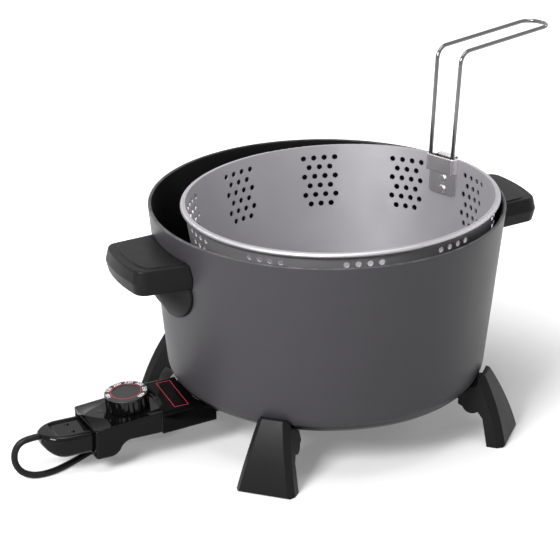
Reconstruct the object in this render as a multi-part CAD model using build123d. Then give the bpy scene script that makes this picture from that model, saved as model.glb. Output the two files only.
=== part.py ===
from build123d import *
import os
from math import atan2, ceil, cos, degrees, pi, radians, sin, sqrt, tan

os.makedirs("parts", exist_ok=True)

# Open electric kettle with a lift-out fry basket, in millimetres.
# The origin is on the pot's axis at the table, +Z is up and the heat control plugs in from -X.

# Pot
RIM_RADIUS = 146.0
RIM_HEIGHT = 191.0
BASE_RADIUS = 130.7
BASE_HEIGHT = 40.0
POT_WALL = 3.0
BASE_THICKNESS = 5.0
BASE_CORNER = 18.0
INNER_CORNER = 14.0
RIM_ROUND = 1.0

# Side handles, split by drafts at a parting plane half way up
HANDLE_REACH = 187.0
HANDLE_TOP = 172.5
HANDLE_THICKNESS = 21.0
HANDLE_ROOT_WIDTH = 81.0
HANDLE_END_WIDTH = 70.0
HANDLE_END_BOW = 4.5
HANDLE_CORNER = 12.0
HANDLE_DRAFT = 13.0
HANDLE_EDGE = 1.8
HANDLE_PANEL_RISE = 0.8
HANDLE_PANEL_END = 6.5
HANDLE_PANEL_SIDE = 3.5
GUSSET_RIM = 2.5
# Gusset sections from the slab down: height, half width at the wall, depth from the wall at the middle.
GUSSET_SECTIONS = ((153.0, 34.5, 27.0), (134.0, 33.0, 15.0), (125.0, 25.0, 8.5), (117.5, 10.0, 4.0))
SEAT_GAP = 0.25

# Handle stud and screw
STUD_HEIGHT = 134.0
STUD_RADIUS = 5.0
STUD_LENGTH = 4.0
SCREW_RADIUS = 2.2
SCREW_HEAD_RADIUS = 4.5
SCREW_HEAD_HEIGHT = 3.0
SCREW_CLEARANCE = 0.15
HANDLE_SCREW_GRIP = 3.0
HANDLE_SCREW_HEAD = 3.4

# Close fits: pins and rivets in their holes, threads, and seats against the pot
PIN_FIT = 0.05
SEAT_FIT = 0.02

# Legs
LEG_RADIUS = 161.2
LEG_TOP = 56.5
LEG_TOP_RADIUS = 139.5
LEG_FOOT_WIDTH = 49.0
LEG_TOP_WIDTH = 25.0
LEG_FOOT_DEPTH = 14.6
LEG_TOE = 1.5
LEG_BEVEL = 3.7
LEG_BEVEL_DEPTH = 6.0
LEG_BULGE = 2.0
LEG_GAP = 0.4
LEG_TOP_GAP = 3.6
LEG_TOP_SLOT = 9.0
# Knee: in from the heel and up. Lobe of the arm: three steps from the knee.
LEG_KNEE = (5.5, 22.6)
LEG_LOBE = ((-4.5, 5.0), (-11.5, 3.4), (-17.5, 8.0))
LEG_ARM_RADIUS = 90.0
LEG_ARM_WIDTH = 20.0
LEG_ARM_HEIGHT = 6.0
LEG_SCREW_CIRCLE = 100.0
LEG_SCREW_DEPTH = 3.0

# Heating element, terminal pins and probe sleeve under the base
ELEMENT_CIRCLE = 78.0
ELEMENT_TUBE = 4.0
ELEMENT_GAP = 0.2
ELEMENT_BEND = 14.0
TERMINAL_SPACING = 28.0
TERMINAL_END = 104.0
PIN_RADIUS = 2.0
PIN_LENGTH = 28.0
SLEEVE_RADIUS = 6.2
SLEEVE_LENGTH = 52.0
SLEEVE_END = 3.0
PROBE_CLEARANCE = 0.4
PIN_CLEARANCE = 0.35

# Basket
BASKET_RADIUS = 127.6
BASKET_DEPTH = 145.0
BASKET_TAPER = 0.125
BASKET_WALL = 1.2
BASKET_CORNER = 13.0
BASKET_BEAD = 2.1
BASKET_OFFSET_X = 9.5
BASKET_OFFSET_Y = -4.8
BASKET_LEAN_X = -1.89
BASKET_LEAN_Y = -1.43
BASKET_SEAT = 0.5
HOLE_RADIUS = 2.5
HOLE_SIDES = 8
HOLE_PITCH = 9.3
HOLE_ROWS = 6
HOLE_TOP_ROW = 10.5
HOLE_GROUPS = 10
HOLE_PHASE = 34.5
HOLE_ROW_COUNTS = (4, 3)
FLOOR_HOLE_PITCH = 22.0
FLOOR_HOLE_RINGS = 4

# Basket bracket and wire handle
BRACKET_ANGLE = 16.5
BRACKET_SHEET = 0.9
BRACKET_CORNER = 2.4
BRACKET_DEPTH = 7.5
BRACKET_TOP = 1.0
BRACKET_DROP = 12.5
BRACKET_GAP = 0.15
TONGUE_DROP = 33.0
TONGUE_CORNER = 4.0
HOOK_WIDTH = 18.0
HOOK_RISE = 2.4
HOOK_DROP = 4.0
HOOK_GAP = 0.6
RIVET_RADIUS = 2.0
RIVET_HEAD = 3.4
RIVET_HEAD_HEIGHT = 1.2
RIVET_DROPS = (19.0, 28.0)
WIRE_RADIUS = 1.75
WIRE_SPACING = 24.8
WIRE_SPREAD = 26.6
WIRE_CLEARANCE = 0.3
WIRE_FOOT = 11.0
WIRE_RISE = 92.5
WIRE_REACH = 114.3
WIRE_TILT = 6.8
WIRE_BEND = 11.0

# Heat control
CONTROL_END = 217.5
CONTROL_WIDTH = 49.0
CONTROL_SEAM = 160.0
CONTROL_END_BOTTOM = 14.3
CONTROL_END_TOP = 38.7
CONTROL_SEAM_BOTTOM = 26.0
CONTROL_SEAM_TOP = 43.5
CONTROL_STEP_START = 206.0
CONTROL_STEP_END = 187.0
CONTROL_EDGE = 2.5
TUB_FLOOR = 3.0
COVER_GAP = 0.1
COVER_LIP = 0.6
COVER_RIDGE = 43.2
COVER_HIP = 198.5
COVER_HIP_TOP = 41.33
COVER_SEAM_TOP = 45.3
HOOD_INNER_END = 112.5
HOOD_BOTTOM = 24.3
HOOD_RISE = 2.4
HOOD_TOP_FRONT = 42.0
HOOD_TOP_BACK = 48.2
HOOD_BITE = 5.5
HOOD_EDGE = 2.0
HOOD_WALL = 2.8
HOOD_POT_GAP = 1.0
HOOD_SEAM = 0.3
SOCKET_RADIUS = 3.6
SOCKET_LENGTH = 32.0
PROBE_RADIUS = 3.6
PROBE_TIP = 70.0

# Dial
DIAL_CENTRE = 180.0
DIAL_RADIUS = 17.8
DIAL_HEIGHT = 12.6
DIAL_GAP = 0.5
DIAL_EDGE = 0.8
DIAL_SKIRT = 2.2
DIAL_FLUTES = 16
DIAL_FLUTE_RADIUS = 3.2
DIAL_FLUTE_DEPTH = 0.9
DIAL_FACE_RADIUS = 11.9
DIAL_FACE_DEPTH = 0.5
SHAFT_RADIUS = 3.0
SHAFT_CLEARANCE = 0.06
SHAFT_SOCKET_DEPTH = 7.0
THERMOSTAT_LENGTH = 26.0
THERMOSTAT_WIDTH = 22.0
THERMOSTAT_HEIGHT = 9.0

# Breakaway receptacle and plug
MOUTH_DEPTH = 5.0
MOUTH_WIDTH = 38.0
MOUTH_BOTTOM = 17.0
MOUTH_TOP = 36.6
MOUTH_CLEARANCE = 0.6
PLUG_ENTRY = 1.0
PLUG_NOSE = 257.0
PLUG_BUSHING = 247.5
PLUG_SHOULDER = 236.0
PLUG_NOSE_WIDTH = 10.0
PLUG_NOSE_ROUND = 3.0
PLUG_TOP = 36.0
PLUG_PARTING = 27.0
PLUG_BOTTOM = 17.6
PLUG_NOSE_BOTTOM = 28.0
PLUG_DECK_DEPTH = 1.4
PLUG_DECK_INSET = 2.2
PLUG_BUMP_SPACING = 13.0
PLUG_BUMP_RADIUS = 2.4
PLUG_BUMP_HEIGHT = 1.1
PLUG_BUMP_PLACE = 231.5
PLUG_SPLIT = 0.1
CONTACT_RADIUS = 1.6
CONTACT_SPACING = 16.0
CONTACT_LENGTH = 7.0
CONTACT_SLEEVE = 0.8
MAGNET_WIDTH = 7.0
MAGNET_HEIGHT = 9.0
MAGNET_THICKNESS = 2.5
MAGNET_FOOT = 5.0

# Lead, coil and wall plug
CORD_RADIUS = 2.75
CORD_EXIT_HEIGHT = 33.0
COLLAR_WALL = 1.3
COIL_CENTRE = (-150.0, 58.0)
COIL_RADIUS = 31.5
COIL_PITCH = 6.1
COIL_LAYER = 6.05
COIL_TURNS = 3.125
COIL_LIFT = 1.15
TIE_WIDTH = 5.0
TIE_THICKNESS = 0.7
TIE_GAP = 0.4
TAIL_RUN = 14.0
TAIL_END = 12.0
WALL_PLUG_LENGTH = 25.0
WALL_PLUG_WIDTH = 23.0
WALL_PLUG_NECK = 11.0
WALL_PLUG_ROUND = 3.0
BLADE_SPACING = 12.7
BLADE_LENGTH = 16.5
BLADE_HEIGHT = 6.4
BLADE_THICKNESS = 1.5
BLADE_ROOT = 4.0

LEG_ANGLES = {"leg_front_left": -135, "leg_front_right": -45, "leg_back_right": 45, "leg_back_left": 135}
BRACKET_WIDTH = WIRE_SPACING + 2 * (WIRE_RADIUS + WIRE_CLEARANCE + BRACKET_SHEET)
POT_TAPER = (RIM_RADIUS - BASE_RADIUS) / (RIM_HEIGHT - BASE_HEIGHT)
FLOOR_HEIGHT = BASE_HEIGHT + BASE_THICKNESS
PLUG_IN_HEIGHT = BASE_HEIGHT - SLEEVE_RADIUS
SLEEVE_BORE = PROBE_RADIUS + PROBE_CLEARANCE
TERMINAL_HEIGHT = BASE_HEIGHT - ELEMENT_TUBE - ELEMENT_GAP
TUB_FLOOR_HEIGHT = CONTROL_SEAM_BOTTOM + TUB_FLOOR
HOOD_BACK = HOOD_SEAM + HOOD_WALL + HOOD_BITE - CONTROL_SEAM
PLUG_INNER = PLUG_ENTRY - CONTROL_END
CONTACT_HEIGHT = (MOUTH_BOTTOM + MOUTH_TOP) / 2
MAGNET_LOW = MOUTH_BOTTOM + MAGNET_FOOT
CORD_FLOOR = CORD_RADIUS
WALL_PLUG_HEIGHT = 2 * (CORD_FLOOR + COIL_LIFT + COIL_LAYER)


def pot_radius(height):
    """Outer radius of the pot's tapered wall at a height."""
    return RIM_RADIUS - POT_TAPER * (RIM_HEIGHT - height)


def polygon(*points):
    return make_face(Polyline(*points, close=True))


def round_corner(face, point, radius):
    """Rounds the corner of a flat outline that lies nearest to a point."""
    corner = sorted(face.vertices(), key=lambda v: (v.center() - Vector(*point)).length)[0]
    return fillet(corner, radius)


def upright(face):
    """Stands an outline drawn in x and z up in the XZ plane."""
    return Plane.XZ * face


def group(solids):
    """Several separate solids as one node."""
    return Compound(children=list(solids))


def rod(start, end, radius):
    """A round bar between two points."""
    start, end = Vector(*start), Vector(*end)
    return Solid.make_cylinder(radius, (end - start).length, Plane(start, z_dir=end - start))


def block(low, high):
    """A box between its lowest and highest corners."""
    size = [b - a for a, b in zip(low, high)]
    middle = [(a + b) / 2 for a, b in zip(low, high)]
    return Pos(*middle) * Box(*size)


def pot_outside(clearance):
    """The pot's outer form, full and grown by a clearance, for cutting what seats against it."""
    low = BASE_HEIGHT - clearance
    high = RIM_HEIGHT + 20
    low_radius, high_radius = pot_radius(low) + clearance, pot_radius(high) + clearance
    face = polygon((0, low), (low_radius, low), (high_radius, high), (0, high))
    face = round_corner(face, (low_radius, low), BASE_CORNER + clearance)
    return revolve(upright(face), axis=Axis.Z)


def make_pot():
    """Tapered wall and thick base in one revolve, with blind holes for the leg screws."""
    inner_low = pot_radius(FLOOR_HEIGHT) - POT_WALL
    face = polygon(
        (0, BASE_HEIGHT),
        (BASE_RADIUS, BASE_HEIGHT),
        (RIM_RADIUS, RIM_HEIGHT),
        (RIM_RADIUS - POT_WALL, RIM_HEIGHT),
        (inner_low, FLOOR_HEIGHT),
        (0, FLOOR_HEIGHT),
    )
    face = round_corner(face, (BASE_RADIUS, BASE_HEIGHT), BASE_CORNER)
    face = round_corner(face, (inner_low, FLOOR_HEIGHT), INNER_CORNER)
    face = round_corner(face, (RIM_RADIUS, RIM_HEIGHT), RIM_ROUND)
    face = round_corner(face, (RIM_RADIUS - POT_WALL, RIM_HEIGHT), RIM_ROUND)
    pot = revolve(upright(face), axis=Axis.Z)
    depth = LEG_SCREW_DEPTH + SCREW_CLEARANCE
    for angle in LEG_ANGLES.values():
        hole = Cylinder(SCREW_RADIUS + SCREW_CLEARANCE, 2 * depth)
        pot -= Rot(0, 0, angle) * Pos(LEG_SCREW_CIRCLE, 0, BASE_HEIGHT) * hole
    return pot


def handle_outline(inner, end_inset, side_inset):
    """Plan of a handle from a radius inside the wall, drawn in at its end and sides."""
    reach = HANDLE_REACH - end_inset
    shoulder = reach - HANDLE_END_BOW
    root, end = HANDLE_ROOT_WIDTH / 2 - side_inset, HANDLE_END_WIDTH / 2 - side_inset
    outline = make_face([
        Polyline((shoulder, end), (inner, root), (inner, -root), (shoulder, -end)),
        ThreePointArc((shoulder, -end), (reach, 0), (shoulder, end)),
    ])
    for y in (end, -end):
        outline = round_corner(outline, (shoulder, y), HANDLE_CORNER)
    return outline


def gusset_section(height, half_width, depth):
    """Level section of a gusset: a thin rim against the wall that swells to a rounded keel at the middle."""
    wall = pot_radius(height)
    side = sqrt(wall ** 2 - half_width ** 2)
    inner = side - 6
    face = polygon((inner, -half_width), (side + GUSSET_RIM, -half_width), (wall + depth, 0),
                   (side + GUSSET_RIM, half_width), (inner, half_width))
    face = round_corner(face, (wall + depth, 0), 0.55 * half_width)
    return Pos(0, 0, height) * face


def make_handle(side):
    """Moulded slab with drafted rims and a raised top panel, on a gusset that runs down the wall.

    side is -1 for the handle over the heat control and +1 for the one across from it.
    """
    parting = HANDLE_TOP - HANDLE_THICKNESS / 2
    inner = pot_radius(parting) - 20
    outline = handle_outline(inner, 0, 0)
    half = HANDLE_THICKNESS / 2
    slab = Solid.extrude_taper(Pos(0, 0, parting) * outline.face(), (0, 0, half), HANDLE_DRAFT)
    slab = Part(slab.wrapped) + Part(
        Solid.extrude_taper(Pos(0, 0, parting) * outline.face(), (0, 0, -half), HANDLE_DRAFT).wrapped)
    rims = slab.faces().sort_by(Axis.Z)
    slab = fillet(rims[-1].edges() + rims[0].edges(), HANDLE_EDGE)
    drawn_in = half * tan(radians(HANDLE_DRAFT))
    panel = handle_outline(inner, HANDLE_PANEL_END + drawn_in, HANDLE_PANEL_SIDE + drawn_in)
    slab += Pos(0, 0, HANDLE_TOP - HANDLE_EDGE) * extrude(panel, HANDLE_EDGE + HANDLE_PANEL_RISE)

    handle = slab + loft([gusset_section(*section) for section in GUSSET_SECTIONS])
    handle -= pot_outside(SEAT_GAP)
    wall = pot_radius(STUD_HEIGHT)
    seat = wall + STUD_LENGTH + HANDLE_SCREW_GRIP
    bores = [
        rod((inner, 0, STUD_HEIGHT), (wall + STUD_LENGTH + SEAT_GAP, 0, STUD_HEIGHT), STUD_RADIUS + SEAT_GAP),
        rod((wall, 0, STUD_HEIGHT), (seat + 1, 0, STUD_HEIGHT), SCREW_RADIUS + SCREW_CLEARANCE),
        rod((seat, 0, STUD_HEIGHT), (HANDLE_REACH, 0, STUD_HEIGHT), HANDLE_SCREW_HEAD + SCREW_CLEARANCE),
    ]
    for bore in bores:
        handle -= bore
    return handle if side > 0 else Rot(0, 0, 180) * handle


def make_handle_studs():
    """Two threaded studs on the pot's wall, behind the handles."""
    wall = pot_radius(STUD_HEIGHT)
    stud = Part(rod((wall - 8, 0, STUD_HEIGHT), (wall + STUD_LENGTH, 0, STUD_HEIGHT), STUD_RADIUS).wrapped)
    stud -= rod((wall - 8, 0, STUD_HEIGHT), (HANDLE_REACH, 0, STUD_HEIGHT), SCREW_RADIUS + PIN_FIT)
    stud -= pot_outside(SEAT_FIT)
    return group([Rot(0, 0, angle) * stud for angle in (0, 180)])


def make_handle_screws():
    wall = pot_radius(STUD_HEIGHT)
    seat = wall + STUD_LENGTH + HANDLE_SCREW_GRIP
    screw = rod((wall + 1, 0, STUD_HEIGHT), (seat, 0, STUD_HEIGHT), SCREW_RADIUS)
    screw += rod((seat, 0, STUD_HEIGHT), (seat + SCREW_HEAD_HEIGHT, 0, STUD_HEIGHT), HANDLE_SCREW_HEAD)
    return group([Rot(0, 0, angle) * screw for angle in (0, 180)])


def make_leg(angle):
    """Splayed leg with a bowed, bevelled outer face and a lobed arm screwed under the base."""
    toe = LEG_RADIUS - LEG_TOE
    heel = toe - LEG_FOOT_DEPTH + LEG_TOE
    arm_top = BASE_HEIGHT - LEG_GAP
    arm_low = arm_top - LEG_ARM_HEIGHT
    bow = ((LEG_RADIUS + LEG_TOP_RADIUS) / 2 + LEG_BULGE, LEG_TOP / 2 + LEG_BULGE)
    knee = (heel - LEG_KNEE[0], LEG_KNEE[1])
    lobe = [(knee[0] + step[0], knee[1] + step[1]) for step in LEG_LOBE]
    side = make_face([
        Polyline((LEG_TOP_RADIUS, LEG_TOP), (BASE_RADIUS - BASE_CORNER, LEG_TOP), (LEG_ARM_RADIUS, arm_top),
                 (LEG_ARM_RADIUS, arm_low), (lobe[2][0] - 7, arm_low), lobe[2]),
        ThreePointArc(lobe[2], lobe[1], lobe[0]),
        Polyline(lobe[0], knee, (heel, 0), (toe, 0), (LEG_RADIUS, LEG_TOE)),
        ThreePointArc((LEG_RADIUS, LEG_TOE), bow, (LEG_TOP_RADIUS, LEG_TOP)),
    ])
    leg = extrude(upright(side), LEG_FOOT_WIDTH / 2, both=True)
    foot, top = LEG_FOOT_WIDTH / 2, LEG_TOP_WIDTH / 2
    front = Plane.YZ * polygon((-foot, 0), (foot, 0), (top, LEG_TOP), (-top, LEG_TOP))
    leg &= extrude(front, LEG_RADIUS + 1)
    flank = (LEG_FOOT_WIDTH - LEG_ARM_WIDTH) / 2
    for y in (-1, 1):
        place = Pos((LEG_ARM_RADIUS + lobe[2][0]) / 2 - 4, y * (LEG_ARM_WIDTH / 2 + flank / 2), LEG_TOP / 2)
        leg -= place * Box(lobe[2][0] - LEG_ARM_RADIUS, flank, LEG_TOP)
    bowed = leg.faces().filter_by(GeomType.CYLINDER).sort_by(Axis.X)[-1]
    sides = [e for e in bowed.edges() if abs(e.center().Y) > top / 2]
    leg = chamfer(sides, LEG_BEVEL, LEG_BEVEL_DEPTH, reference=bowed)
    leg -= pot_outside(LEG_GAP)
    slot = block((0, -LEG_FOOT_WIDTH, LEG_TOP - LEG_TOP_SLOT), (LEG_RADIUS, LEG_FOOT_WIDTH, LEG_TOP + 1))
    leg -= pot_outside(LEG_TOP_GAP) & slot
    leg -= Pos(LEG_SCREW_CIRCLE, 0, arm_low) * Cylinder(SCREW_RADIUS + SCREW_CLEARANCE, 4 * LEG_ARM_HEIGHT)
    return Rot(0, 0, angle) * leg


def make_leg_screws():
    x = LEG_SCREW_CIRCLE
    seat = BASE_HEIGHT - LEG_GAP - LEG_ARM_HEIGHT
    screw = rod((x, 0, seat), (x, 0, BASE_HEIGHT + LEG_SCREW_DEPTH), SCREW_RADIUS)
    screw += rod((x, 0, seat - SCREW_HEAD_HEIGHT), (x, 0, seat), SCREW_HEAD_RADIUS)
    return group([Rot(0, 0, angle) * screw for angle in LEG_ANGLES.values()])


def make_element():
    """Ring element under the base, whose two ends turn out towards the heat control."""
    z = TERMINAL_HEIGHT
    half = TERMINAL_SPACING / 2
    corner = -sqrt(ELEMENT_CIRCLE ** 2 - half ** 2)
    start = Vector(-TERMINAL_END, half, z)
    knee = Vector(corner - ELEMENT_BEND, half, z)
    ring_angle = pi - 2 * (half + ELEMENT_BEND) / ELEMENT_CIRCLE
    ring = [Vector(ELEMENT_CIRCLE * cos(a), ELEMENT_CIRCLE * sin(a), z) for a in (ring_angle, 0, -ring_angle)]
    mirror_knee = Vector(knee.X, -half, z)
    bend_in = TangentArc(knee, ring[0], tangent=(1, 0, 0))
    bend_out = TangentArc(mirror_knee, ring[2], tangent=(1, 0, 0))
    path = Wire([Line(start, knee), bend_in, ThreePointArc(*ring), bend_out,
                 Line(mirror_knee, Vector(-TERMINAL_END, -half, z))])
    section = Plane(start, z_dir=(1, 0, 0)) * Circle(ELEMENT_TUBE)
    return sweep(section, path=path, transition=Transition.ROUND)


def make_terminal_pins():
    start, z = -TERMINAL_END, TERMINAL_HEIGHT
    half = TERMINAL_SPACING / 2
    return group([rod((start, y, z), (start - PIN_LENGTH, y, z), PIN_RADIUS) for y in (half, -half)])


def make_probe_sleeve():
    """Well for the control's probe, flattened where it seats under the base."""
    start = -TERMINAL_END
    z = PLUG_IN_HEIGHT
    sleeve = Part(rod((start, 0, z), (start + SLEEVE_LENGTH, 0, z), SLEEVE_RADIUS).wrapped)
    sleeve -= rod((start - 1, 0, z), (start + SLEEVE_LENGTH - SLEEVE_END, 0, z), SLEEVE_BORE)
    return sleeve - pot_outside(SEAT_FIT)


def basket_seat():
    """Height of the basket's rim plane above the table: its low edge rests on the pot's floor."""
    lean = radians(sqrt(BASKET_LEAN_X ** 2 + BASKET_LEAN_Y ** 2))
    low_radius = BASKET_RADIUS - BASKET_TAPER * BASKET_DEPTH - BASKET_CORNER
    drop = (BASKET_DEPTH - BASKET_CORNER) * cos(lean) + low_radius * sin(lean) + BASKET_CORNER
    return FLOOR_HEIGHT + BASKET_SEAT + drop


BASKET_PLACE = Location((BASKET_OFFSET_X, BASKET_OFFSET_Y, basket_seat()), (BASKET_LEAN_X, BASKET_LEAN_Y, 0))
WALL_LEAN = degrees(atan2(BASKET_TAPER, 1))
BRACKET_BASE = BASKET_RADIUS - BASKET_WALL
# Bracket frame: x out through the basket's wall, y along the rim, z up the wall from the rim.
BRACKET_PLACE = BASKET_PLACE * Rot(0, 0, BRACKET_ANGLE) * Pos(BRACKET_BASE, 0, 0) * Rot(0, WALL_LEAN, 0)


def basket_holes():
    """Staggered groups of holes round the wall and rings of holes in the floor."""
    shape = extrude(RegularPolygon(HOLE_RADIUS, HOLE_SIDES), 5 * BASKET_WALL, both=True)
    tools = []
    for number in range(HOLE_GROUPS):
        centre = HOLE_PHASE + number * 360 / HOLE_GROUPS
        for row in range(HOLE_ROWS):
            count = HOLE_ROW_COUNTS[row % len(HOLE_ROW_COUNTS)]
            drop = HOLE_TOP_ROW + row * HOLE_PITCH * sqrt(3) / 2
            radius = BASKET_RADIUS - BASKET_TAPER * drop
            for column in range(count):
                angle = centre + degrees((column - (count - 1) / 2) * HOLE_PITCH / BASKET_RADIUS)
                place = Rot(0, 0, angle) * Pos(radius, 0, -drop) * Rot(0, 90 + WALL_LEAN, 0)
                tools.append(place * shape)
    floor = -BASKET_DEPTH
    tools.append(Pos(0, 0, floor) * shape)
    for ring in range(1, FLOOR_HOLE_RINGS + 1):
        for number in range(6 * ring):
            tools.append(Rot(0, 0, number * 60 / ring) * Pos(ring * FLOOR_HOLE_PITCH, 0, floor) * shape)
    return tools


def make_basket():
    """Thin tapered shell with a beaded rim, perforated in groups."""
    low = BASKET_RADIUS - BASKET_TAPER * BASKET_DEPTH
    face = polygon(
        (BASKET_RADIUS, 0),
        (low, -BASKET_DEPTH),
        (0, -BASKET_DEPTH),
        (0, BASKET_WALL - BASKET_DEPTH),
        (low - BASKET_WALL, BASKET_WALL - BASKET_DEPTH),
        (BASKET_RADIUS - BASKET_WALL, 0),
    )
    face = round_corner(face, (low, -BASKET_DEPTH), BASKET_CORNER)
    face = round_corner(face, (low - BASKET_WALL, BASKET_WALL - BASKET_DEPTH), BASKET_CORNER - BASKET_WALL)
    shell = revolve(upright(face), axis=Axis.Z)
    bead = Pos(BASKET_RADIUS + BASKET_BEAD - BASKET_WALL, -BASKET_BEAD) * Circle(BASKET_BEAD)
    shell = shell.cut(*basket_holes())
    shell = Part(shell.wrapped) + revolve(upright(bead), axis=Axis.Z)
    local = BASKET_PLACE.inverse() * BRACKET_PLACE
    for drop in RIVET_DROPS:
        shell -= local * rod((-6, 0, -drop), (6, 0, -drop), RIVET_RADIUS + PIN_FIT)
    return BASKET_PLACE * shell


def bracket_back():
    """Back of the clip in the bracket's frame, clear of the basket's round wall at the clip's two sides."""
    half = BRACKET_WIDTH / 2
    return sqrt(BRACKET_BASE ** 2 - half ** 2) - BRACKET_BASE - BRACKET_GAP


def make_bracket():
    """Folded steel clip: a socket for the wires, a hook over the rim and a riveted tongue."""
    half = BRACKET_WIDTH / 2
    back = bracket_back()
    front = back - BRACKET_DEPTH
    bead_out = 2 * BASKET_BEAD + HOOK_GAP
    top = HOOK_RISE
    low = -BRACKET_DROP
    t = BRACKET_SHEET
    hook_side = make_face([
        Polyline((back, low), (back, HOOK_GAP), (bead_out, HOOK_GAP), (bead_out, -HOOK_DROP),
                 (bead_out + t, -HOOK_DROP), (bead_out + t, top), (back - t, top), (back - t, low),
                 (back, low)),
    ])
    hook_side = round_corner(hook_side, (bead_out + t, top), 1.5 * t)
    hook_side = round_corner(hook_side, (back - t, top), 1.5 * t)
    clip = extrude(upright(hook_side), HOOK_WIDTH / 2, both=True)
    socket = block((front, -half, low), (back, half, BRACKET_TOP))
    socket = fillet(socket.edges().filter_by(Axis.Z).sort_by(Axis.X)[:2], BRACKET_CORNER)
    hollow = block((front + t, t - half, low - 1), (back - t, half - t, BRACKET_TOP + 1))
    clip += socket - fillet(hollow.edges().filter_by(Axis.Z).sort_by(Axis.X)[:2], BRACKET_CORNER - t)
    tongue = polygon((-half, low + 1), (half, low + 1), (half, -TONGUE_DROP), (-half, -TONGUE_DROP))
    for y in (-half, half):
        tongue = round_corner(tongue, (y, -TONGUE_DROP), TONGUE_CORNER)
    clip += Pos(back - t, 0, 0) * extrude(Plane.YZ * tongue, t)
    for drop in RIVET_DROPS:
        clip -= rod((back - 2 * t, 0, -drop), (back + t, 0, -drop), RIVET_RADIUS + PIN_FIT)
    return BRACKET_PLACE * clip


def make_rivets():
    inside = BRACKET_SHEET - bracket_back()
    rivets = []
    for drop in RIVET_DROPS:
        shank = Part(rod((-inside, 0, -drop), (BASKET_WALL, 0, -drop), RIVET_RADIUS).wrapped)
        shank += rod((-inside - RIVET_HEAD_HEIGHT, 0, -drop), (-inside, 0, -drop), RIVET_HEAD)
        shank += rod((BASKET_WALL + 0.1, 0, -drop), (BASKET_WALL + RIVET_HEAD_HEIGHT, 0, -drop), RIVET_HEAD)
        shank += rod((BASKET_WALL - 0.1, 0, -drop), (BASKET_WALL + 0.2, 0, -drop), RIVET_RADIUS)
        rivets.append(BRACKET_PLACE * shank)
    return group(rivets)


def wire_axis():
    """Place of the wires' plane in the bracket's frame: they stand in the socket's two front corners."""
    return bracket_back() - BRACKET_DEPTH + BRACKET_SHEET + WIRE_CLEARANCE + WIRE_RADIUS


def make_wire_handle():
    """One bent wire: two legs that splay up out of the socket, a bend, and a grip closed by a round end."""
    x = wire_axis()
    foot, grip = WIRE_SPACING / 2, WIRE_SPREAD / 2
    tilt = radians(WIRE_TILT)
    tip = (x + WIRE_REACH * cos(tilt), grip, WIRE_RISE + WIRE_REACH * sin(tilt))
    one_side = [(x, foot, -WIRE_FOOT), (x, grip, WIRE_RISE), tip]
    points = one_side + [(px, -py, pz) for px, py, pz in reversed(one_side)]
    path = FilletPolyline(*points, radius=WIRE_BEND)
    section = Plane(points[0], z_dir=Vector(*points[1]) - Vector(*points[0])) * Circle(WIRE_RADIUS)
    return BRACKET_PLACE * sweep(section, path=path)


def control_edge_height(reach):
    """Height of the casing's side edge, which falls from the hood to the outer end."""
    share = (reach - CONTROL_SEAM) / (CONTROL_END - CONTROL_SEAM)
    return CONTROL_SEAM_TOP + share * (CONTROL_END_TOP - CONTROL_SEAM_TOP)


COVER_SLOPE = degrees(atan2(COVER_SEAM_TOP - COVER_HIP_TOP, COVER_HIP - CONTROL_SEAM))
DIAL_SEAT_HEIGHT = COVER_HIP_TOP + (COVER_HIP - DIAL_CENTRE) * tan(radians(COVER_SLOPE))
DIAL_PLACE = Location((-DIAL_CENTRE, 0, DIAL_SEAT_HEIGHT), (0, -COVER_SLOPE, 0))


def make_lower_housing():
    """Tub with a stepped underside and the receptacle's mouth in its outer end."""
    end, seam = -CONTROL_END, -CONTROL_SEAM
    step_middle = (CONTROL_STEP_START + CONTROL_STEP_END) / 2
    step_height = (CONTROL_END_BOTTOM + CONTROL_SEAM_BOTTOM) / 2
    side = make_face([
        Line((end, CONTROL_END_BOTTOM), (-CONTROL_STEP_START, CONTROL_END_BOTTOM)),
        TangentArc((-CONTROL_STEP_START, CONTROL_END_BOTTOM), (-step_middle, step_height), tangent=(1, 0)),
        TangentArc((-CONTROL_STEP_END, CONTROL_SEAM_BOTTOM), (-step_middle, step_height), tangent=(-1, 0)),
        Polyline((-CONTROL_STEP_END, CONTROL_SEAM_BOTTOM), (seam, CONTROL_SEAM_BOTTOM),
                 (seam, CONTROL_SEAM_TOP), (end, CONTROL_END_TOP), (end, CONTROL_END_BOTTOM)),
    ])
    tub = extrude(upright(side), CONTROL_WIDTH / 2, both=True)
    corners = tub.edges().filter_by(Axis.Z).sort_by(Axis.X)[:2]
    tub = fillet(corners, CONTROL_EDGE)
    half = MOUTH_WIDTH / 2
    tub -= block((end - 1, -half, MOUTH_BOTTOM), (end + MOUTH_DEPTH, half, MOUTH_TOP))
    well = DIAL_CENTRE - THERMOSTAT_LENGTH / 2 - 1
    tub -= block((-well - THERMOSTAT_LENGTH - 2, -THERMOSTAT_WIDTH / 2 - 1, TUB_FLOOR_HEIGHT),
                 (-well, THERMOSTAT_WIDTH / 2 + 1, CONTROL_SEAM_TOP + 2))
    for y in (-1, 1):
        place, z = y * CONTACT_SPACING / 2, CONTACT_HEIGHT
        bore_end = end + MOUTH_DEPTH + CONTACT_LENGTH
        tub -= rod((end + 1, place, z), (bore_end, place, z), CONTACT_RADIUS + PIN_FIT)
        tub -= housing_screw_bore(y)
    return tub - magnet(end + 1, end + MOUTH_DEPTH + MAGNET_THICKNESS)


def magnet(near, far):
    """A magnet's block, or the pocket for one, between two places along x."""
    return block((near, -MAGNET_WIDTH / 2, MAGNET_LOW), (far, MAGNET_WIDTH / 2, MAGNET_LOW + MAGNET_HEIGHT))


def housing_screw_place(y):
    return (-CONTROL_STEP_END + 12, y * (CONTROL_WIDTH / 2 - 6))


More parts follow.
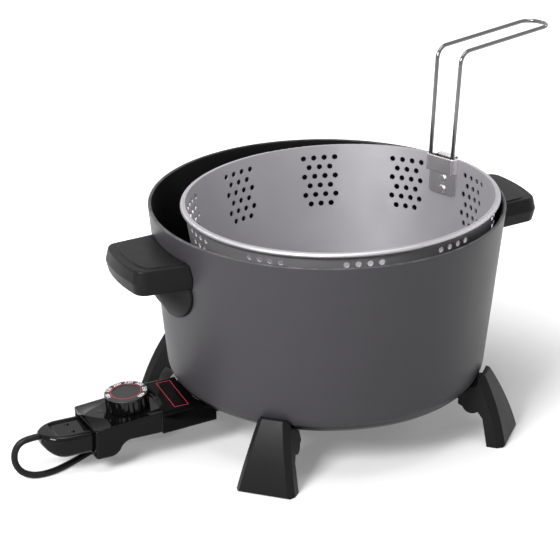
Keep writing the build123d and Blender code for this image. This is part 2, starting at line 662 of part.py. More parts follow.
def housing_screw_bore(y):
    x, y = housing_screw_place(y)
    return rod((x, y, CONTROL_SEAM_BOTTOM - 5), (x, y, CONTROL_SEAM_TOP - 1), SCREW_RADIUS + PIN_FIT)


def make_upper_housing():
    """Glossy cover: a flat seat for the dial, hipped to a ridge at the outer end."""
    half = CONTROL_WIDTH / 2
    end, hip, seam = -CONTROL_END, -COVER_HIP, -CONTROL_SEAM
    low_end = control_edge_height(CONTROL_END) + COVER_GAP
    low_seam = control_edge_height(CONTROL_SEAM) + COVER_GAP
    ridge = (end, 0, COVER_RIDGE)
    low = {y: [(end, y, low_end), (seam, y, low_seam)] for y in (-half, half)}
    top = {y: [(end, y, low_end + COVER_LIP), (hip, y, COVER_HIP_TOP), (seam, y, COVER_SEAM_TOP)]
           for y in (-half, half)}
    outlines = [
        low[-half] + low[half][::-1],
        [low[-half][0], top[-half][0], ridge, top[half][0], low[half][0]],
        [low[-half][1], top[-half][2], top[half][2], low[half][1]],
        [ridge, top[-half][1], top[half][1]],
        [top[-half][1], top[-half][2], top[half][2], top[half][1]],
    ]
    for y in (-half, half):
        outlines.append([low[y][0], top[y][0], top[y][1], top[y][2], low[y][1]])
        outlines.append([ridge, top[y][0], top[y][1]])
    cover = Solid(Shell([Face(Wire.make_polygon(points)) for points in outlines]))
    plan = block((end, -half, 0), (seam, half, 2 * COVER_SEAM_TOP))
    plan = fillet(plan.edges().filter_by(Axis.Z).sort_by(Axis.X)[:2], CONTROL_EDGE)
    return (plan & cover) - DIAL_PLACE * Cylinder(SHAFT_RADIUS + SHAFT_CLEARANCE, 40)


def hood_top(y):
    """Height of the hood's sloped top at a place across it."""
    share = y / CONTROL_WIDTH + 0.5
    return HOOD_TOP_FRONT + share * (HOOD_TOP_BACK - HOOD_TOP_FRONT)


def make_hood():
    """Hood over the terminals: sloped top, open towards the pot and cut back in an arc towards the dial."""
    half = CONTROL_WIDTH / 2
    near, far = -HOOD_INNER_END, -CONTROL_SEAM + HOOD_SEAM
    across = polygon((-half, HOOD_BOTTOM), (half, HOOD_BOTTOM), (half, hood_top(half)),
                     (-half, hood_top(-half)))
    hood = Pos(far, 0, 0) * extrude(Plane.YZ * across, near - far)
    ridges = hood.edges().filter_by(Axis.X).sort_by(Axis.Z)[-2:]
    hood = fillet(ridges, HOOD_EDGE)
    slope = polygon((far, HOOD_BOTTOM - 1), (near, HOOD_BOTTOM - 1), (near, HOOD_BOTTOM + HOOD_RISE),
                    (far, HOOD_BOTTOM))
    hood -= extrude(upright(slope), half + 1, both=True)
    inside = half - HOOD_WALL
    low = HOOD_BOTTOM + HOOD_RISE + HOOD_WALL
    cavity = polygon((-inside, low), (inside, low), (inside, hood_top(inside) - HOOD_WALL),
                     (-inside, hood_top(-inside) - HOOD_WALL))
    hood -= Pos(HOOD_BACK, 0, 0) * extrude(Plane.YZ * cavity, near - far)
    bite_radius = ((half - HOOD_EDGE) ** 2 + HOOD_BITE ** 2) / (2 * HOOD_BITE)
    bite = Pos(far + HOOD_BITE - bite_radius, 0) * Circle(bite_radius)
    hood -= Pos(0, 0, control_edge_height(CONTROL_SEAM)) * extrude(bite, HOOD_TOP_BACK)
    return hood - pot_outside(HOOD_POT_GAP)


def make_probe():
    """Probe rod with a rounded tip, carried by the back wall of the hood."""
    z = PLUG_IN_HEIGHT
    tip = -PROBE_TIP
    probe = Part(rod((HOOD_BACK, 0, z), (tip - PROBE_RADIUS, 0, z), PROBE_RADIUS).wrapped)
    return probe + Pos(tip - PROBE_RADIUS, 0, z) * Sphere(PROBE_RADIUS)


def make_sockets():
    """Two tubular sockets that take the terminal pins."""
    z = TERMINAL_HEIGHT
    bore = PIN_RADIUS + PIN_CLEARANCE
    sockets = []
    for y in (TERMINAL_SPACING / 2, -TERMINAL_SPACING / 2):
        socket = Part(rod((HOOD_BACK, y, z), (HOOD_BACK + SOCKET_LENGTH, y, z), SOCKET_RADIUS).wrapped)
        socket -= rod((-TERMINAL_END - PIN_LENGTH - 2, y, z), (0, y, z), bore)
        sockets.append(socket)
    return group(sockets)


def make_thermostat():
    """Switch body in the tub, bored for the dial's shaft."""
    base = TUB_FLOOR_HEIGHT
    body = block((-DIAL_CENTRE - THERMOSTAT_LENGTH / 2, -THERMOSTAT_WIDTH / 2, base),
                 (-DIAL_CENTRE + THERMOSTAT_LENGTH / 2, THERMOSTAT_WIDTH / 2, base + THERMOSTAT_HEIGHT))
    return body - DIAL_PLACE * Cylinder(SHAFT_RADIUS + SHAFT_CLEARANCE, 60)


def make_housing_screws():
    """Two screws that hold the cover, up from the underside of the tub."""
    screws = []
    for side in (-1, 1):
        x, y = housing_screw_place(side)
        low, high = CONTROL_SEAM_BOTTOM, CONTROL_SEAM_TOP - 2
        screw = Part(rod((x, y, low), (x, y, high), SCREW_RADIUS).wrapped)
        screws.append(screw + rod((x, y, low - 1.5), (x, y, low), SCREW_HEAD_RADIUS - 1))
    return group(screws)


def make_receptacle_pins():
    z = CONTACT_HEIGHT
    inner = -CONTROL_END + MOUTH_DEPTH + CONTACT_LENGTH
    return group([rod((-CONTROL_END + 1.5, y, z), (inner, y, z), CONTACT_RADIUS)
                  for y in (CONTACT_SPACING / 2, -CONTACT_SPACING / 2)])


def make_receptacle_magnet():
    near = -CONTROL_END + MOUTH_DEPTH
    return magnet(near, near + MAGNET_THICKNESS)


def make_dial():
    """Fluted knob on a plain skirt, with a sunk disc for its face."""
    knob = Pos(0, 0, DIAL_GAP + DIAL_HEIGHT / 2) * Cylinder(DIAL_RADIUS, DIAL_HEIGHT)
    knob = fillet(knob.edges().sort_by(Axis.Z)[-1], DIAL_EDGE)
    reach = DIAL_RADIUS + DIAL_FLUTE_RADIUS - DIAL_FLUTE_DEPTH
    flutes = []
    for number in range(DIAL_FLUTES):
        place = Rot(0, 0, number * 360 / DIAL_FLUTES) * Pos(reach, 0, DIAL_GAP + DIAL_HEIGHT / 2 - DIAL_SKIRT)
        flutes.append(place * Cylinder(DIAL_FLUTE_RADIUS, DIAL_HEIGHT))
    knob = Part(knob.cut(*flutes).wrapped)
    knob -= Pos(0, 0, DIAL_GAP + DIAL_HEIGHT) * Cylinder(DIAL_FACE_RADIUS, 2 * DIAL_FACE_DEPTH)
    knob -= Cylinder(SHAFT_RADIUS + SEAT_FIT, 2 * (DIAL_GAP + SHAFT_SOCKET_DEPTH))
    return DIAL_PLACE * knob


def make_shaft():
    """Dial shaft, from the knob's socket down through the cover into the switch body."""
    base = TUB_FLOOR_HEIGHT + 2 - DIAL_SEAT_HEIGHT
    return DIAL_PLACE * rod((0, 0, base), (0, 0, DIAL_GAP + SHAFT_SOCKET_DEPTH - 0.1), SHAFT_RADIUS)


def plug_hull():
    """Boat-shaped body of the breakaway plug, full height, from the mouth to the nose."""
    inner = PLUG_INNER
    half = MOUTH_WIDTH / 2 - MOUTH_CLEARANCE
    nose = PLUG_NOSE_WIDTH / 2
    middle = (PLUG_SHOULDER + PLUG_NOSE) / 2
    bow = (-middle - 1.5, (half + nose) / 2 + 2.5)
    plan = make_face([
        Polyline((-PLUG_SHOULDER, -half), (inner, -half), (inner, half), (-PLUG_SHOULDER, half)),
        ThreePointArc((-PLUG_SHOULDER, half), bow, (-PLUG_NOSE, nose)),
        Line((-PLUG_NOSE, nose), (-PLUG_NOSE, -nose)),
        ThreePointArc((-PLUG_NOSE, -nose), (bow[0], -bow[1]), (-PLUG_SHOULDER, -half)),
    ])
    for y in (-nose, nose):
        plan = round_corner(plan, (-PLUG_NOSE, y), PLUG_NOSE_ROUND)
    hull = Pos(0, 0, PLUG_BOTTOM) * extrude(plan, PLUG_TOP - PLUG_BOTTOM)
    keel = make_face([
        Polyline((inner, PLUG_BOTTOM), (-PLUG_SHOULDER - 4, PLUG_BOTTOM)),
        TangentArc((-PLUG_SHOULDER - 4, PLUG_BOTTOM), (-PLUG_NOSE, PLUG_NOSE_BOTTOM), tangent=(-1, 0)),
        Polyline((-PLUG_NOSE, PLUG_NOSE_BOTTOM), (-PLUG_NOSE, PLUG_TOP), (inner, PLUG_TOP),
                 (inner, PLUG_BOTTOM)),
    ])
    return hull & extrude(upright(keel), CONTROL_WIDTH, both=True)


def plug_section(low, high):
    """A slab of the plug between two heights, without the nose piece."""
    return plug_hull() & block((-PLUG_BUSHING + PLUG_SPLIT, -CONTROL_WIDTH, low), (0, CONTROL_WIDTH, high))


def plug_bores():
    """Bores for the contacts and the pocket for the magnet, in the plug's inner end."""
    return [*contact_tubes(PLUG_INNER + 1, PIN_FIT), magnet(PLUG_INNER - MAGNET_THICKNESS, PLUG_INNER + 1)]


def contact_tubes(start, clearance):
    """The two contacts' round bars from a place in the plug's inner end, grown by a clearance."""
    end, z = PLUG_INNER - 2 * CONTACT_LENGTH, CONTACT_HEIGHT
    radius = CONTACT_RADIUS + CONTACT_SLEEVE + clearance
    return [rod((start, y, z), (end, y, z), radius) for y in (CONTACT_SPACING / 2, -CONTACT_SPACING / 2)]


def make_plug_lower():
    return plug_section(PLUG_BOTTOM, PLUG_PARTING).cut(*plug_bores())


def make_plug_upper():
    """Upper shell with a sunk deck and two grip bumps."""
    shell = plug_section(PLUG_PARTING + PLUG_SPLIT, PLUG_TOP)
    deck = offset(plug_section(PLUG_TOP - 1, PLUG_TOP).faces().sort_by(Axis.Z)[-1], -PLUG_DECK_INSET)
    shell -= Pos(0, 0, -PLUG_DECK_DEPTH) * extrude(deck, PLUG_DECK_DEPTH + 1)
    ball = (PLUG_BUMP_RADIUS ** 2 + PLUG_BUMP_HEIGHT ** 2) / (2 * PLUG_BUMP_HEIGHT)
    deck_height = PLUG_TOP - PLUG_DECK_DEPTH
    for y in (-PLUG_BUMP_SPACING / 2, PLUG_BUMP_SPACING / 2):
        bump = Pos(-PLUG_BUMP_PLACE, y, deck_height + PLUG_BUMP_HEIGHT - ball) * Sphere(ball)
        shell += bump & block((-PLUG_BUSHING, -CONTROL_WIDTH, deck_height - 0.5),
                              (0, CONTROL_WIDTH, PLUG_TOP))
    return shell.cut(*plug_bores())


def make_bushing():
    """Nose piece that grips the lead."""
    z, wide = CORD_EXIT_HEIGHT, CONTROL_WIDTH
    nose = plug_hull() & block((-PLUG_NOSE - 1, -wide, 0), (-PLUG_BUSHING, wide, PLUG_TOP))
    collar = rod((-PLUG_NOSE - 0.01, 0, z), (-PLUG_NOSE + 4, 0, z), CORD_RADIUS + COLLAR_WALL)
    return nose + collar & block((-PLUG_NOSE, -wide, 0), (-PLUG_BUSHING, wide, PLUG_TOP + 2))


def make_plug_contacts():
    """Sprung bars that meet the receptacle's pins."""
    return group(contact_tubes(PLUG_INNER, 0))


def make_plug_magnet():
    return magnet(PLUG_INNER - MAGNET_THICKNESS, PLUG_INNER)


# The lead's free stretch, chosen by hand: out of the nose, round and down, then back under the control.
LEAD_POINTS = [
    (-PLUG_NOSE, 0.0, CORD_EXIT_HEIGHT),
    (-266.5, 0.0, CORD_EXIT_HEIGHT),
    (-273.8, 1.5, 29.5),
    (-278.0, 1.5, 22.0),
    (-278.4, -0.8, 13.5),
    (-274.0, -4.2, 6.3),
    (-264.5, -6.8, CORD_FLOOR),
    (-252.0, -7.5, CORD_FLOOR),
    (-238.0, -3.0, CORD_FLOOR),
    (-224.0, 4.0, CORD_FLOOR),
    (-210.0, 11.5, CORD_FLOOR),
    (-196.0, 18.5, CORD_FLOOR),
    (-182.0, 23.8, CORD_FLOOR + 0.2),
    (-165.0, COIL_CENTRE[1] - COIL_RADIUS, CORD_FLOOR + COIL_LIFT),
    (COIL_CENTRE[0], COIL_CENTRE[1] - COIL_RADIUS, CORD_FLOOR + COIL_LIFT),
]


def coil_point(turn):
    """Point of the coil's centre line: spirals in, climbs a layer over half a turn, spirals out."""
    reverse = COIL_TURNS / 2
    radius = COIL_RADIUS - COIL_PITCH * min(turn, COIL_TURNS - turn)
    climb = min(max(turn - reverse + 0.25, 0.0), 0.5) * 2
    height = CORD_FLOOR + COIL_LIFT + COIL_LAYER * (1 - cos(pi * climb)) / 2
    angle = 2 * pi * turn - pi / 2
    return Vector(COIL_CENTRE[0] + radius * cos(angle), COIL_CENTRE[1] + radius * sin(angle), height)


def coil_tangent(turn):
    """Direction of the coil at a point, level and square to the radius at both ends."""
    angle = 2 * pi * turn - pi / 2
    if turn in (0, COIL_TURNS):
        return Vector(-sin(angle), cos(angle), 0)
    step = 0.01
    return (coil_point(turn + step) - coil_point(turn - step)).normalized()


def biarc(start, start_way, end, end_way):
    """Two arcs that leave one point and reach another along given directions."""
    gap = end - start
    ways = start_way + end_way
    a = 2 * (1 - start_way.dot(end_way))
    b = 2 * gap.dot(ways)
    c = -gap.dot(gap)
    reach = -c / b if abs(a) < 1e-9 else (-b + sqrt(b * b - 4 * a * c)) / (2 * a)
    joint = (start + end + (start_way - end_way) * reach) * 0.5
    joint_way = joint - start - start_way * reach
    return [TangentArc(start, joint, tangent=start_way), TangentArc(joint, end, tangent=joint_way)]


def coil_path():
    arcs = []
    pieces = ceil(4 * COIL_TURNS)
    for number in range(pieces):
        first, last = number * COIL_TURNS / pieces, (number + 1) * COIL_TURNS / pieces
        arcs += biarc(coil_point(first), coil_tangent(first), coil_point(last), coil_tangent(last))
    return Wire(arcs)


def tube(path, start, way):
    """A round tube of the lead's section along a path, with its volume held against section times length."""
    solid = sweep(Plane(start, z_dir=way) * Circle(CORD_RADIUS), path=path)
    expected = pi * CORD_RADIUS ** 2 * path.length
    print(f"tube: length {path.length:.1f} mm, volume ratio {solid.volume / expected:.4f}")
    return solid


def route_radii(points):
    """Largest arcs that the runs allow: 0.45 of the shorter run over the tangent of half the turn."""
    points = [Vector(*p) for p in points]
    radii = []
    for before, here, after in zip(points, points[1:], points[2:]):
        turn = radians((here - before).get_angle(after - here))
        radii.append(0.45 * min((here - before).length, (after - here).length) / tan(turn / 2))
    print("route radii", [round(r, 1) for r in radii])
    return radii


def make_route(points):
    path = FilletPolyline(*points, radius=route_radii(points))
    return tube(path, points[0], Vector(*points[1]) - Vector(*points[0]))


def make_coil():
    path = coil_path()
    samples = [coil_point(n * COIL_TURNS / 400) for n in range(401)]
    apart = int(400 / COIL_TURNS / 3)
    least = min((a - b).length for n, a in enumerate(samples) for b in samples[n + apart:])
    print(f"coil: least gap to itself {least - 2 * CORD_RADIUS:.2f} mm")
    return tube(path, coil_point(0), coil_tangent(0))


def tail_points():
    """The last stretch, from the coil's upper end to the wall plug."""
    end = coil_point(COIL_TURNS)
    corner = end + coil_tangent(COIL_TURNS) * TAIL_RUN
    return [tuple(end), tuple(corner), (corner.X + TAIL_END, corner.Y, corner.Z)]


def make_tie():
    """Flat tie round the coil's turns, on the side towards +X."""
    low = CORD_FLOOR + COIL_LIFT - CORD_RADIUS - TIE_GAP
    high = CORD_FLOOR + COIL_LIFT + COIL_LAYER + CORD_RADIUS + TIE_GAP
    outer = COIL_CENTRE[0] + COIL_RADIUS - COIL_PITCH / 4 + CORD_RADIUS + TIE_GAP
    inner = COIL_CENTRE[0] + COIL_RADIUS - 5 * COIL_PITCH / 4 - CORD_RADIUS - TIE_GAP
    y = COIL_CENTRE[1]
    t = TIE_THICKNESS
    band = block((inner - t, y - TIE_WIDTH / 2, low - t), (outer + t, y + TIE_WIDTH / 2, high + t))
    band = fillet(band.edges().filter_by(Axis.Y), 1.5)
    hole = block((inner, y - TIE_WIDTH, low), (outer, y + TIE_WIDTH, high))
    return band - fillet(hole.edges().filter_by(Axis.Y), 0.9)


def make_wall_plug():
    """Moulded wall plug that swells from the lead to its flat face."""
    x, y, z = tail_points()[-1]
    neck, waist, face = [Plane((x + share * WALL_PLUG_LENGTH, y, z), x_dir=(0, 1, 0), z_dir=(1, 0, 0))
                         for share in (0, 0.45, 1)]
    narrow = RectangleRounded(WALL_PLUG_NECK, WALL_PLUG_NECK, WALL_PLUG_ROUND)
    wide = RectangleRounded(WALL_PLUG_WIDTH, WALL_PLUG_HEIGHT, WALL_PLUG_ROUND)
    body = loft([neck * narrow, waist * wide, face * wide], ruled=True)
    for blade in blades(PIN_FIT):
        body -= blade
    return body


def blades(clearance):
    x, y, z = tail_points()[-1]
    face = x + WALL_PLUG_LENGTH
    half = BLADE_HEIGHT / 2 + clearance
    thick = BLADE_THICKNESS / 2 + clearance
    return [block((face - BLADE_ROOT, y + side * BLADE_SPACING / 2 - thick, z - half),
                  (face + BLADE_LENGTH, y + side * BLADE_SPACING / 2 + thick, z + half)) for side in (-1, 1)]


PARTS = {
    "pot_shell": make_pot(),
    "heating_element": make_element(),
    "terminal_pins": make_terminal_pins(),
    "probe_sleeve": make_probe_sleeve(),
    "left_handle": make_handle(-1),
    "right_handle": make_handle(1),
    "handle_studs": make_handle_studs(),
    "handle_screws": make_handle_screws(),
    "leg_screws": make_leg_screws(),
    "basket_shell": make_basket(),
    "basket_bracket": make_bracket(),
    "bracket_rivets": make_rivets(),
    "wire_handle": make_wire_handle(),
    "control_lower_housing": make_lower_housing(),
    "control_upper_housing": make_upper_housing(),
    "control_hood": make_hood(),
    "temperature_probe": make_probe(),
    "terminal_sockets": make_sockets(),
    "thermostat_block": make_thermostat(),
    "housing_screws": make_housing_screws(),
    "receptacle_pins": make_receptacle_pins(),
    "receptacle_magnet": make_receptacle_magnet(),
    "dial_knob": make_dial(),
    "dial_shaft": make_shaft(),
    "plug_upper_shell": make_plug_upper(),
    "plug_lower_shell": make_plug_lower(),
    "plug_contacts": make_plug_contacts(),
    "plug_magnet": make_plug_magnet(),
    "cord_bushing": make_bushing(),
    "cord_lead": make_route(LEAD_POINTS),
    "cord_coil": make_coil(),
    "cord_tail": make_route(tail_points()),
    "coil_tie": make_tie(),
    "wall_plug": make_wall_plug(),
    "plug_blades": group(blades(0)),
}
for leg_name, leg_angle in LEG_ANGLES.items():
    PARTS[leg_name] = make_leg(leg_angle)

for node, solid in PARTS.items():
    export_step(solid, f"parts/{node}.step")
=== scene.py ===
"""Looks for an open electric kettle with a lift-out fry basket.

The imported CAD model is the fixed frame. Each operator dresses one group of its pieces, and the stage operator
adds the floor, the lamps and the camera.
"""

import math

import bmesh
import bpy
import numpy as np
from bpy.props import FloatProperty, FloatVectorProperty, IntProperty, PointerProperty
from mathutils import Matrix, Vector


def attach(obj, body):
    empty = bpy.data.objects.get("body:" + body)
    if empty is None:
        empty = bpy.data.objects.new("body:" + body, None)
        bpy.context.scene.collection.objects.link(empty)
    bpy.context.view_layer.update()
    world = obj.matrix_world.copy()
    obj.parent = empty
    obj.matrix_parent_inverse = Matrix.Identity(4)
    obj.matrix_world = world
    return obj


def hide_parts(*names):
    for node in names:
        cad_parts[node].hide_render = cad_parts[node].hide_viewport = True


bl_info = {
    "name": "Open kettle with fry basket",
    "version": (1, 0, 0),
    "blender": (4, 5, 0),
    "location": "3D View > Sidebar > Kettle",
    "description": "Dresses the packed kettle, its basket, its heat control and its lead",
    "category": "Object",
}

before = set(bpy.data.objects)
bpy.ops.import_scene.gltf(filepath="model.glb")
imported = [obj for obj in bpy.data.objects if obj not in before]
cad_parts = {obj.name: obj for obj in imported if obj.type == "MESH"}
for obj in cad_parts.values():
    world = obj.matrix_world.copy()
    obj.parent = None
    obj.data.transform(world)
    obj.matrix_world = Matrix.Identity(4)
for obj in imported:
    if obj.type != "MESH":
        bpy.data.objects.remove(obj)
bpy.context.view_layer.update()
MM = 0.001

# Pot's outer wall, in metres, as in the part's source
RIM_RADIUS = 146.0 * MM
RIM_HEIGHT = 191.0 * MM
BASE_RADIUS = 130.7 * MM
BASE_HEIGHT = 40.0 * MM
POT_TAPER = (RIM_RADIUS - BASE_RADIUS) / (RIM_HEIGHT - BASE_HEIGHT)

# Dial, in metres: its seat on the cover, the lean of its axis and the heights of its faces over the seat
DIAL_SEAT = Vector((-180.0, 0.0, 43.238)) * MM
DIAL_LEAN = math.radians(5.887)
DIAL_RIM_HEIGHT = 13.1 * MM
DIAL_DISC_HEIGHT = 12.6 * MM
DIAL_PLACE = Matrix.Translation(DIAL_SEAT) @ Matrix.Rotation(-DIAL_LEAN, 4, "Y")

# Print: the dial's figures, a figure's share of its font's size, its thickening as a share of its height, the
# faces round the dial's ring, and the gap between a mark and what carries it
DIAL_FIGURES = ("100", "150", "200", "250", "300", "350", "400")
FIGURE_SHARE = 0.7
FIGURE_THICKENING = 0.008
RING_SIDES = 96
PRINT_GAP = 0.01 * MM

# Hood's top: height at its middle and rise towards +Y, in metres, and its keyline's corners, in millimetres
HOOD_MIDDLE = 45.1 * MM
HOOD_RISE = 6.2 / 49.0
KEYLINE_LOW = (-147.0, -18.6)
KEYLINE_HIGH = (-134.4, 19.4)

# Control's cover, in millimetres: three places along it, and lines through (x, z) for its lower edge, the
# dial's seat and the climb to its ridge, then its section, its grid and the angle that breaks its shading
COVER_SEAM = -160.0
COVER_HIP = -198.5
COVER_END = -217.5
COVER_EDGE = ((COVER_SEAM, 43.6), (COVER_END, 38.8))
COVER_SEAT = ((COVER_HIP, 41.33), (COVER_SEAM, 45.3))
COVER_CLIMB = ((COVER_HIP, 41.33), (COVER_END, 43.2))
COVER_HALF_WIDTH = 24.5
COVER_CORNER = 2.5
COVER_LIP = 0.6
COVER_VALLEY = 0.25
COVER_ROWS = 116
COVER_COLUMNS = 99
COVER_SHARP = math.radians(30)

# The cover's crease as a share of its half width: factor and power of the way from the end, and the most
CREASE_FACTOR = 0.0777
CREASE_POWER = 0.69
CREASE_MOST = 0.80

# Mark on the cover, in millimetres: its corners, and its lift over the curved surface
MARK_CORNERS = ((-206.2, 2.9), (-200.6, 0.0), (-201.9, 6.2))
MARK_LIFT = 0.05

# Breakaway plug, in millimetres: places along it, its plan, its section and the angle that breaks its shading
PLUG_INNER = -216.55
PLUG_SHOULDER = -236.0
PLUG_KEEL_START = -240.0
PLUG_SPLIT = -247.5
PLUG_SPLIT_GAP = 0.1
PLUG_NOSE = -257.0
PLUG_HALF_WIDTH = 18.4
PLUG_NOSE_HALF = 5.0
PLUG_PLAN_POWERS = (2.2, 0.8)
PLUG_TOP = 36.0
PLUG_BOTTOM = 17.6
PLUG_NOSE_BOTTOM = 28.0
PLUG_ROUND = 4.5
PLUG_ROUND_MOST = 0.8
PLUG_SHARP = math.radians(40)

# The plug's sunk deck, whose edge is a share of the half width, and the two bumps on it, in millimetres
DECK_DEPTH = 1.4
DECK_EDGE = (0.86, 0.93)
DECK_END = (-246.2, -243.6)
BUMP_PLACE = (-231.5, 6.5)
BUMP_RADIUS = 2.6
BUMP_HEIGHT = 1.1

# Points of the plug's section on its top, on a side and in a corner, and sections along its two pieces
PLUG_TOP_POINTS = 121
PLUG_SIDE_POINTS = 13
PLUG_CORNER_POINTS = 8
PLUG_BODY_ROWS = 121
PLUG_NOSE_ROWS = 41

# The lead and its route, as in the part's source, in millimetres
CORD_RADIUS = 2.75
COIL_CENTRE = (-150.0, 58.0)
COIL_RADIUS = 31.5
COIL_PITCH = 6.1
COIL_LAYER = 6.05
COIL_TURNS = 3.125
COIL_LIFT = 1.15
COIL_POINTS_PER_TURN = 16
TAIL_RUN = 14.0
TAIL_END = 12.0
CORD_FLOOR = CORD_RADIUS
COIL_FLOOR = CORD_FLOOR + COIL_LIFT
LEAD_POINTS = [
    (-257.0, 0.0, 33.0),
    (-266.5, 0.0, 33.0),
    (-273.8, 1.5, 29.5),
    (-278.0, 1.5, 22.0),
    (-278.4, -0.8, 13.5),
    (-274.0, -4.2, 6.3),
    (-264.5, -6.8, CORD_FLOOR),
    (-252.0, -7.5, CORD_FLOOR),
    (-238.0, -3.0, CORD_FLOOR),
    (-224.0, 4.0, CORD_FLOOR),
    (-210.0, 11.5, CORD_FLOOR),
    (-196.0, 18.5, CORD_FLOOR),
    (-182.0, 23.8, CORD_FLOOR + 0.2),
    (-165.0, COIL_CENTRE[1] - COIL_RADIUS, COIL_FLOOR),
    (COIL_CENTRE[0], COIL_CENTRE[1] - COIL_RADIUS, COIL_FLOOR),
]

# Camera of the photograph, in metres, with its lens and sensor in millimetres
CAMERA_PLACE = (-0.7759, -1.4708, 0.8390)
CAMERA_TURN = math.radians(26.5)
CAMERA_DIP = math.radians(23.416)
CAMERA_LENS = 140.6
CAMERA_SENSOR = 36.0
CAMERA_NEAREST = 0.05
CAMERA_FURTHEST = 30.0

# Floor, in metres: half its side, and the distances over which its glow for the camera changes to the far one
# and to white; this rise with distance is painted light that fades the object's shadow away from it
FLOOR_HALF = 12.0
FAR_GLOW_REACH = (0.18, 0.42)
HORIZON_REACH = (1.0, 4.0)
BLACK = (0.0, 0.0, 0.0)
WHITE = (1.0, 1.0, 1.0)

# Lamps: what they aim at, and each one's name, place, width and height in metres, and power in watts
LAMP_AIM = Vector((0.0, 0.0, 0.1))
LAMPS = (
    ("key_box", (-1.6, -0.9, 1.4), 0.7, 0.7, 62.0),
    ("top_box", (-0.2, -0.1, 2.1), 1.3, 1.3, 26.0),
    ("fill_box", (1.9, 0.3, 1.1), 0.6, 0.6, 6.0),
    ("back_strip", (-0.7, 1.5, 1.3), 0.9, 0.15, 6.0),
)


def colour(name, words, default):
    """Property for a colour in linear light."""
    return FloatVectorProperty(
        name=name, description=words, subtype="COLOR", size=3, min=0.0, max=1.0, default=default)


class KettleColours(bpy.types.PropertyGroup):
    """Colours of the finishes."""

    pot_outside: colour("Pot outside", "Satin coating on the outer wall", (0.0385, 0.0366, 0.0410))
    pot_inside: colour("Pot inside", "Non-stick coating", (0.005, 0.005, 0.0055))
    pot_speck: colour("Pot speck", "Pale specks in the non-stick coating", (0.06, 0.06, 0.062))
    # Bare metal also lightens the pot's rim a little: partly rubbed wear, partly a painted highlight
    bare_metal: colour("Bare metal", "Basket, probe sleeve and rubbed rim", (0.41, 0.398, 0.418))
    moulding: colour("Moulding", "Handles and legs", (0.0065, 0.0062, 0.0068))
    gloss: colour("Gloss black", "Control, dial and plug", (0.0022, 0.0021, 0.0024))
    dial_face: colour("Dial face", "Top of the dial, under its print", (0.016, 0.016, 0.017))
    print_pale: colour("Pale print", "Numbers on the dial", (0.85, 0.85, 0.84))
    print_red: colour("Red print", "Ring on the dial and keyline on the hood", (0.45, 0.015, 0.045))
    print_black: colour("Black print", "Mark on the cover", (0.002, 0.002, 0.002))
    bright_steel: colour("Bright steel", "Basket clip and its rivets", (0.74, 0.73, 0.73))
    chrome: colour("Chrome", "Wire handle", (0.15, 0.15, 0.155))
    plain_steel: colour("Plain steel", "Screws, element and probe", (0.30, 0.30, 0.31))
    brass: colour("Brass", "Pins and contacts", (0.60, 0.46, 0.20))
    rubber: colour("Rubber", "Lead and wall plug", (0.0065, 0.0065, 0.0066))
    floor: colour("Floor", "Plain pale floor", (0.68, 0.68, 0.68))


class KettleSizes(bpy.types.PropertyGroup):
    """Sizes of the printed marks and strengths of the stage."""

    number_height: FloatProperty(
        name="Number height", description="Height of the dial's figures", default=3.4 * MM, unit="LENGTH")
    number_circle: FloatProperty(
        name="Number circle", description="Radius on which the figures stand", default=14.9 * MM,
        unit="LENGTH")
    number_start: FloatProperty(
        name="First number", description="Direction of the first figure on the dial",
        default=math.radians(174.6), subtype="ANGLE")
    number_step: FloatProperty(
        name="Number step", description="Turn from one figure to the next", default=math.radians(-38.7),
        subtype="ANGLE")
    ring_radius: FloatProperty(
        name="Ring radius", description="Outer radius of the dial's red ring", default=12.6 * MM,
        unit="LENGTH")
    ring_width: FloatProperty(
        name="Ring width", description="Width of the dial's red ring", default=0.6 * MM, unit="LENGTH")
    keyline_width: FloatProperty(
        name="Keyline width", description="Width of the line round the hood's bare panel", default=0.55 * MM,
        unit="LENGTH")
    print_height: FloatProperty(
        name="Print height", description="How far printed marks stand proud", default=0.06 * MM,
        unit="LENGTH")
    lead_roundness: IntProperty(
        name="Lead roundness", description="Bevel resolution of the lead's round section", default=6,
        min=2, max=12)
    ambient: FloatProperty(
        name="Ambient light", description="Strength of the world on the object", default=0.20)
    floor_glow: FloatProperty(
        name="Floor glow", description="Light that the floor adds for the camera near the object",
        default=0.20)
    far_glow: FloatProperty(
        name="Far glow", description="Light that the floor adds for the camera far away", default=0.80)


class Socket:
    """A shader output that takes part in Python sums: each operator adds one Math node."""

    def __init__(self, finish, output):
        self.finish = finish
        self.output = output

    def maths(self, operation, first, second):
        """A Math node over two values."""
        return self.finish.node("ShaderNodeMath", {"operation": operation}, {0: first, 1: second})

    def __add__(self, other):
        return self.maths("ADD", self, other)

    def __radd__(self, other):
        return self.maths("ADD", other, self)

    def __sub__(self, other):
        return self.maths("SUBTRACT", self, other)

    def __rsub__(self, other):
        return self.maths("SUBTRACT", other, self)

    def __mul__(self, other):
        return self.maths("MULTIPLY", self, other)

    def __rmul__(self, other):
        return self.maths("MULTIPLY", other, self)

    def __pow__(self, other):
        return self.maths("POWER", self, other)

    def larger(self, other):
        return self.maths("MAXIMUM", self, other)

    def rise(self, low, high):
        """0 below low, 1 above high, smooth between."""
        return self.finish.node(
            "ShaderNodeMapRange", {"interpolation_type": "SMOOTHSTEP"},
            {"Value": self, "From Min": low, "From Max": high})


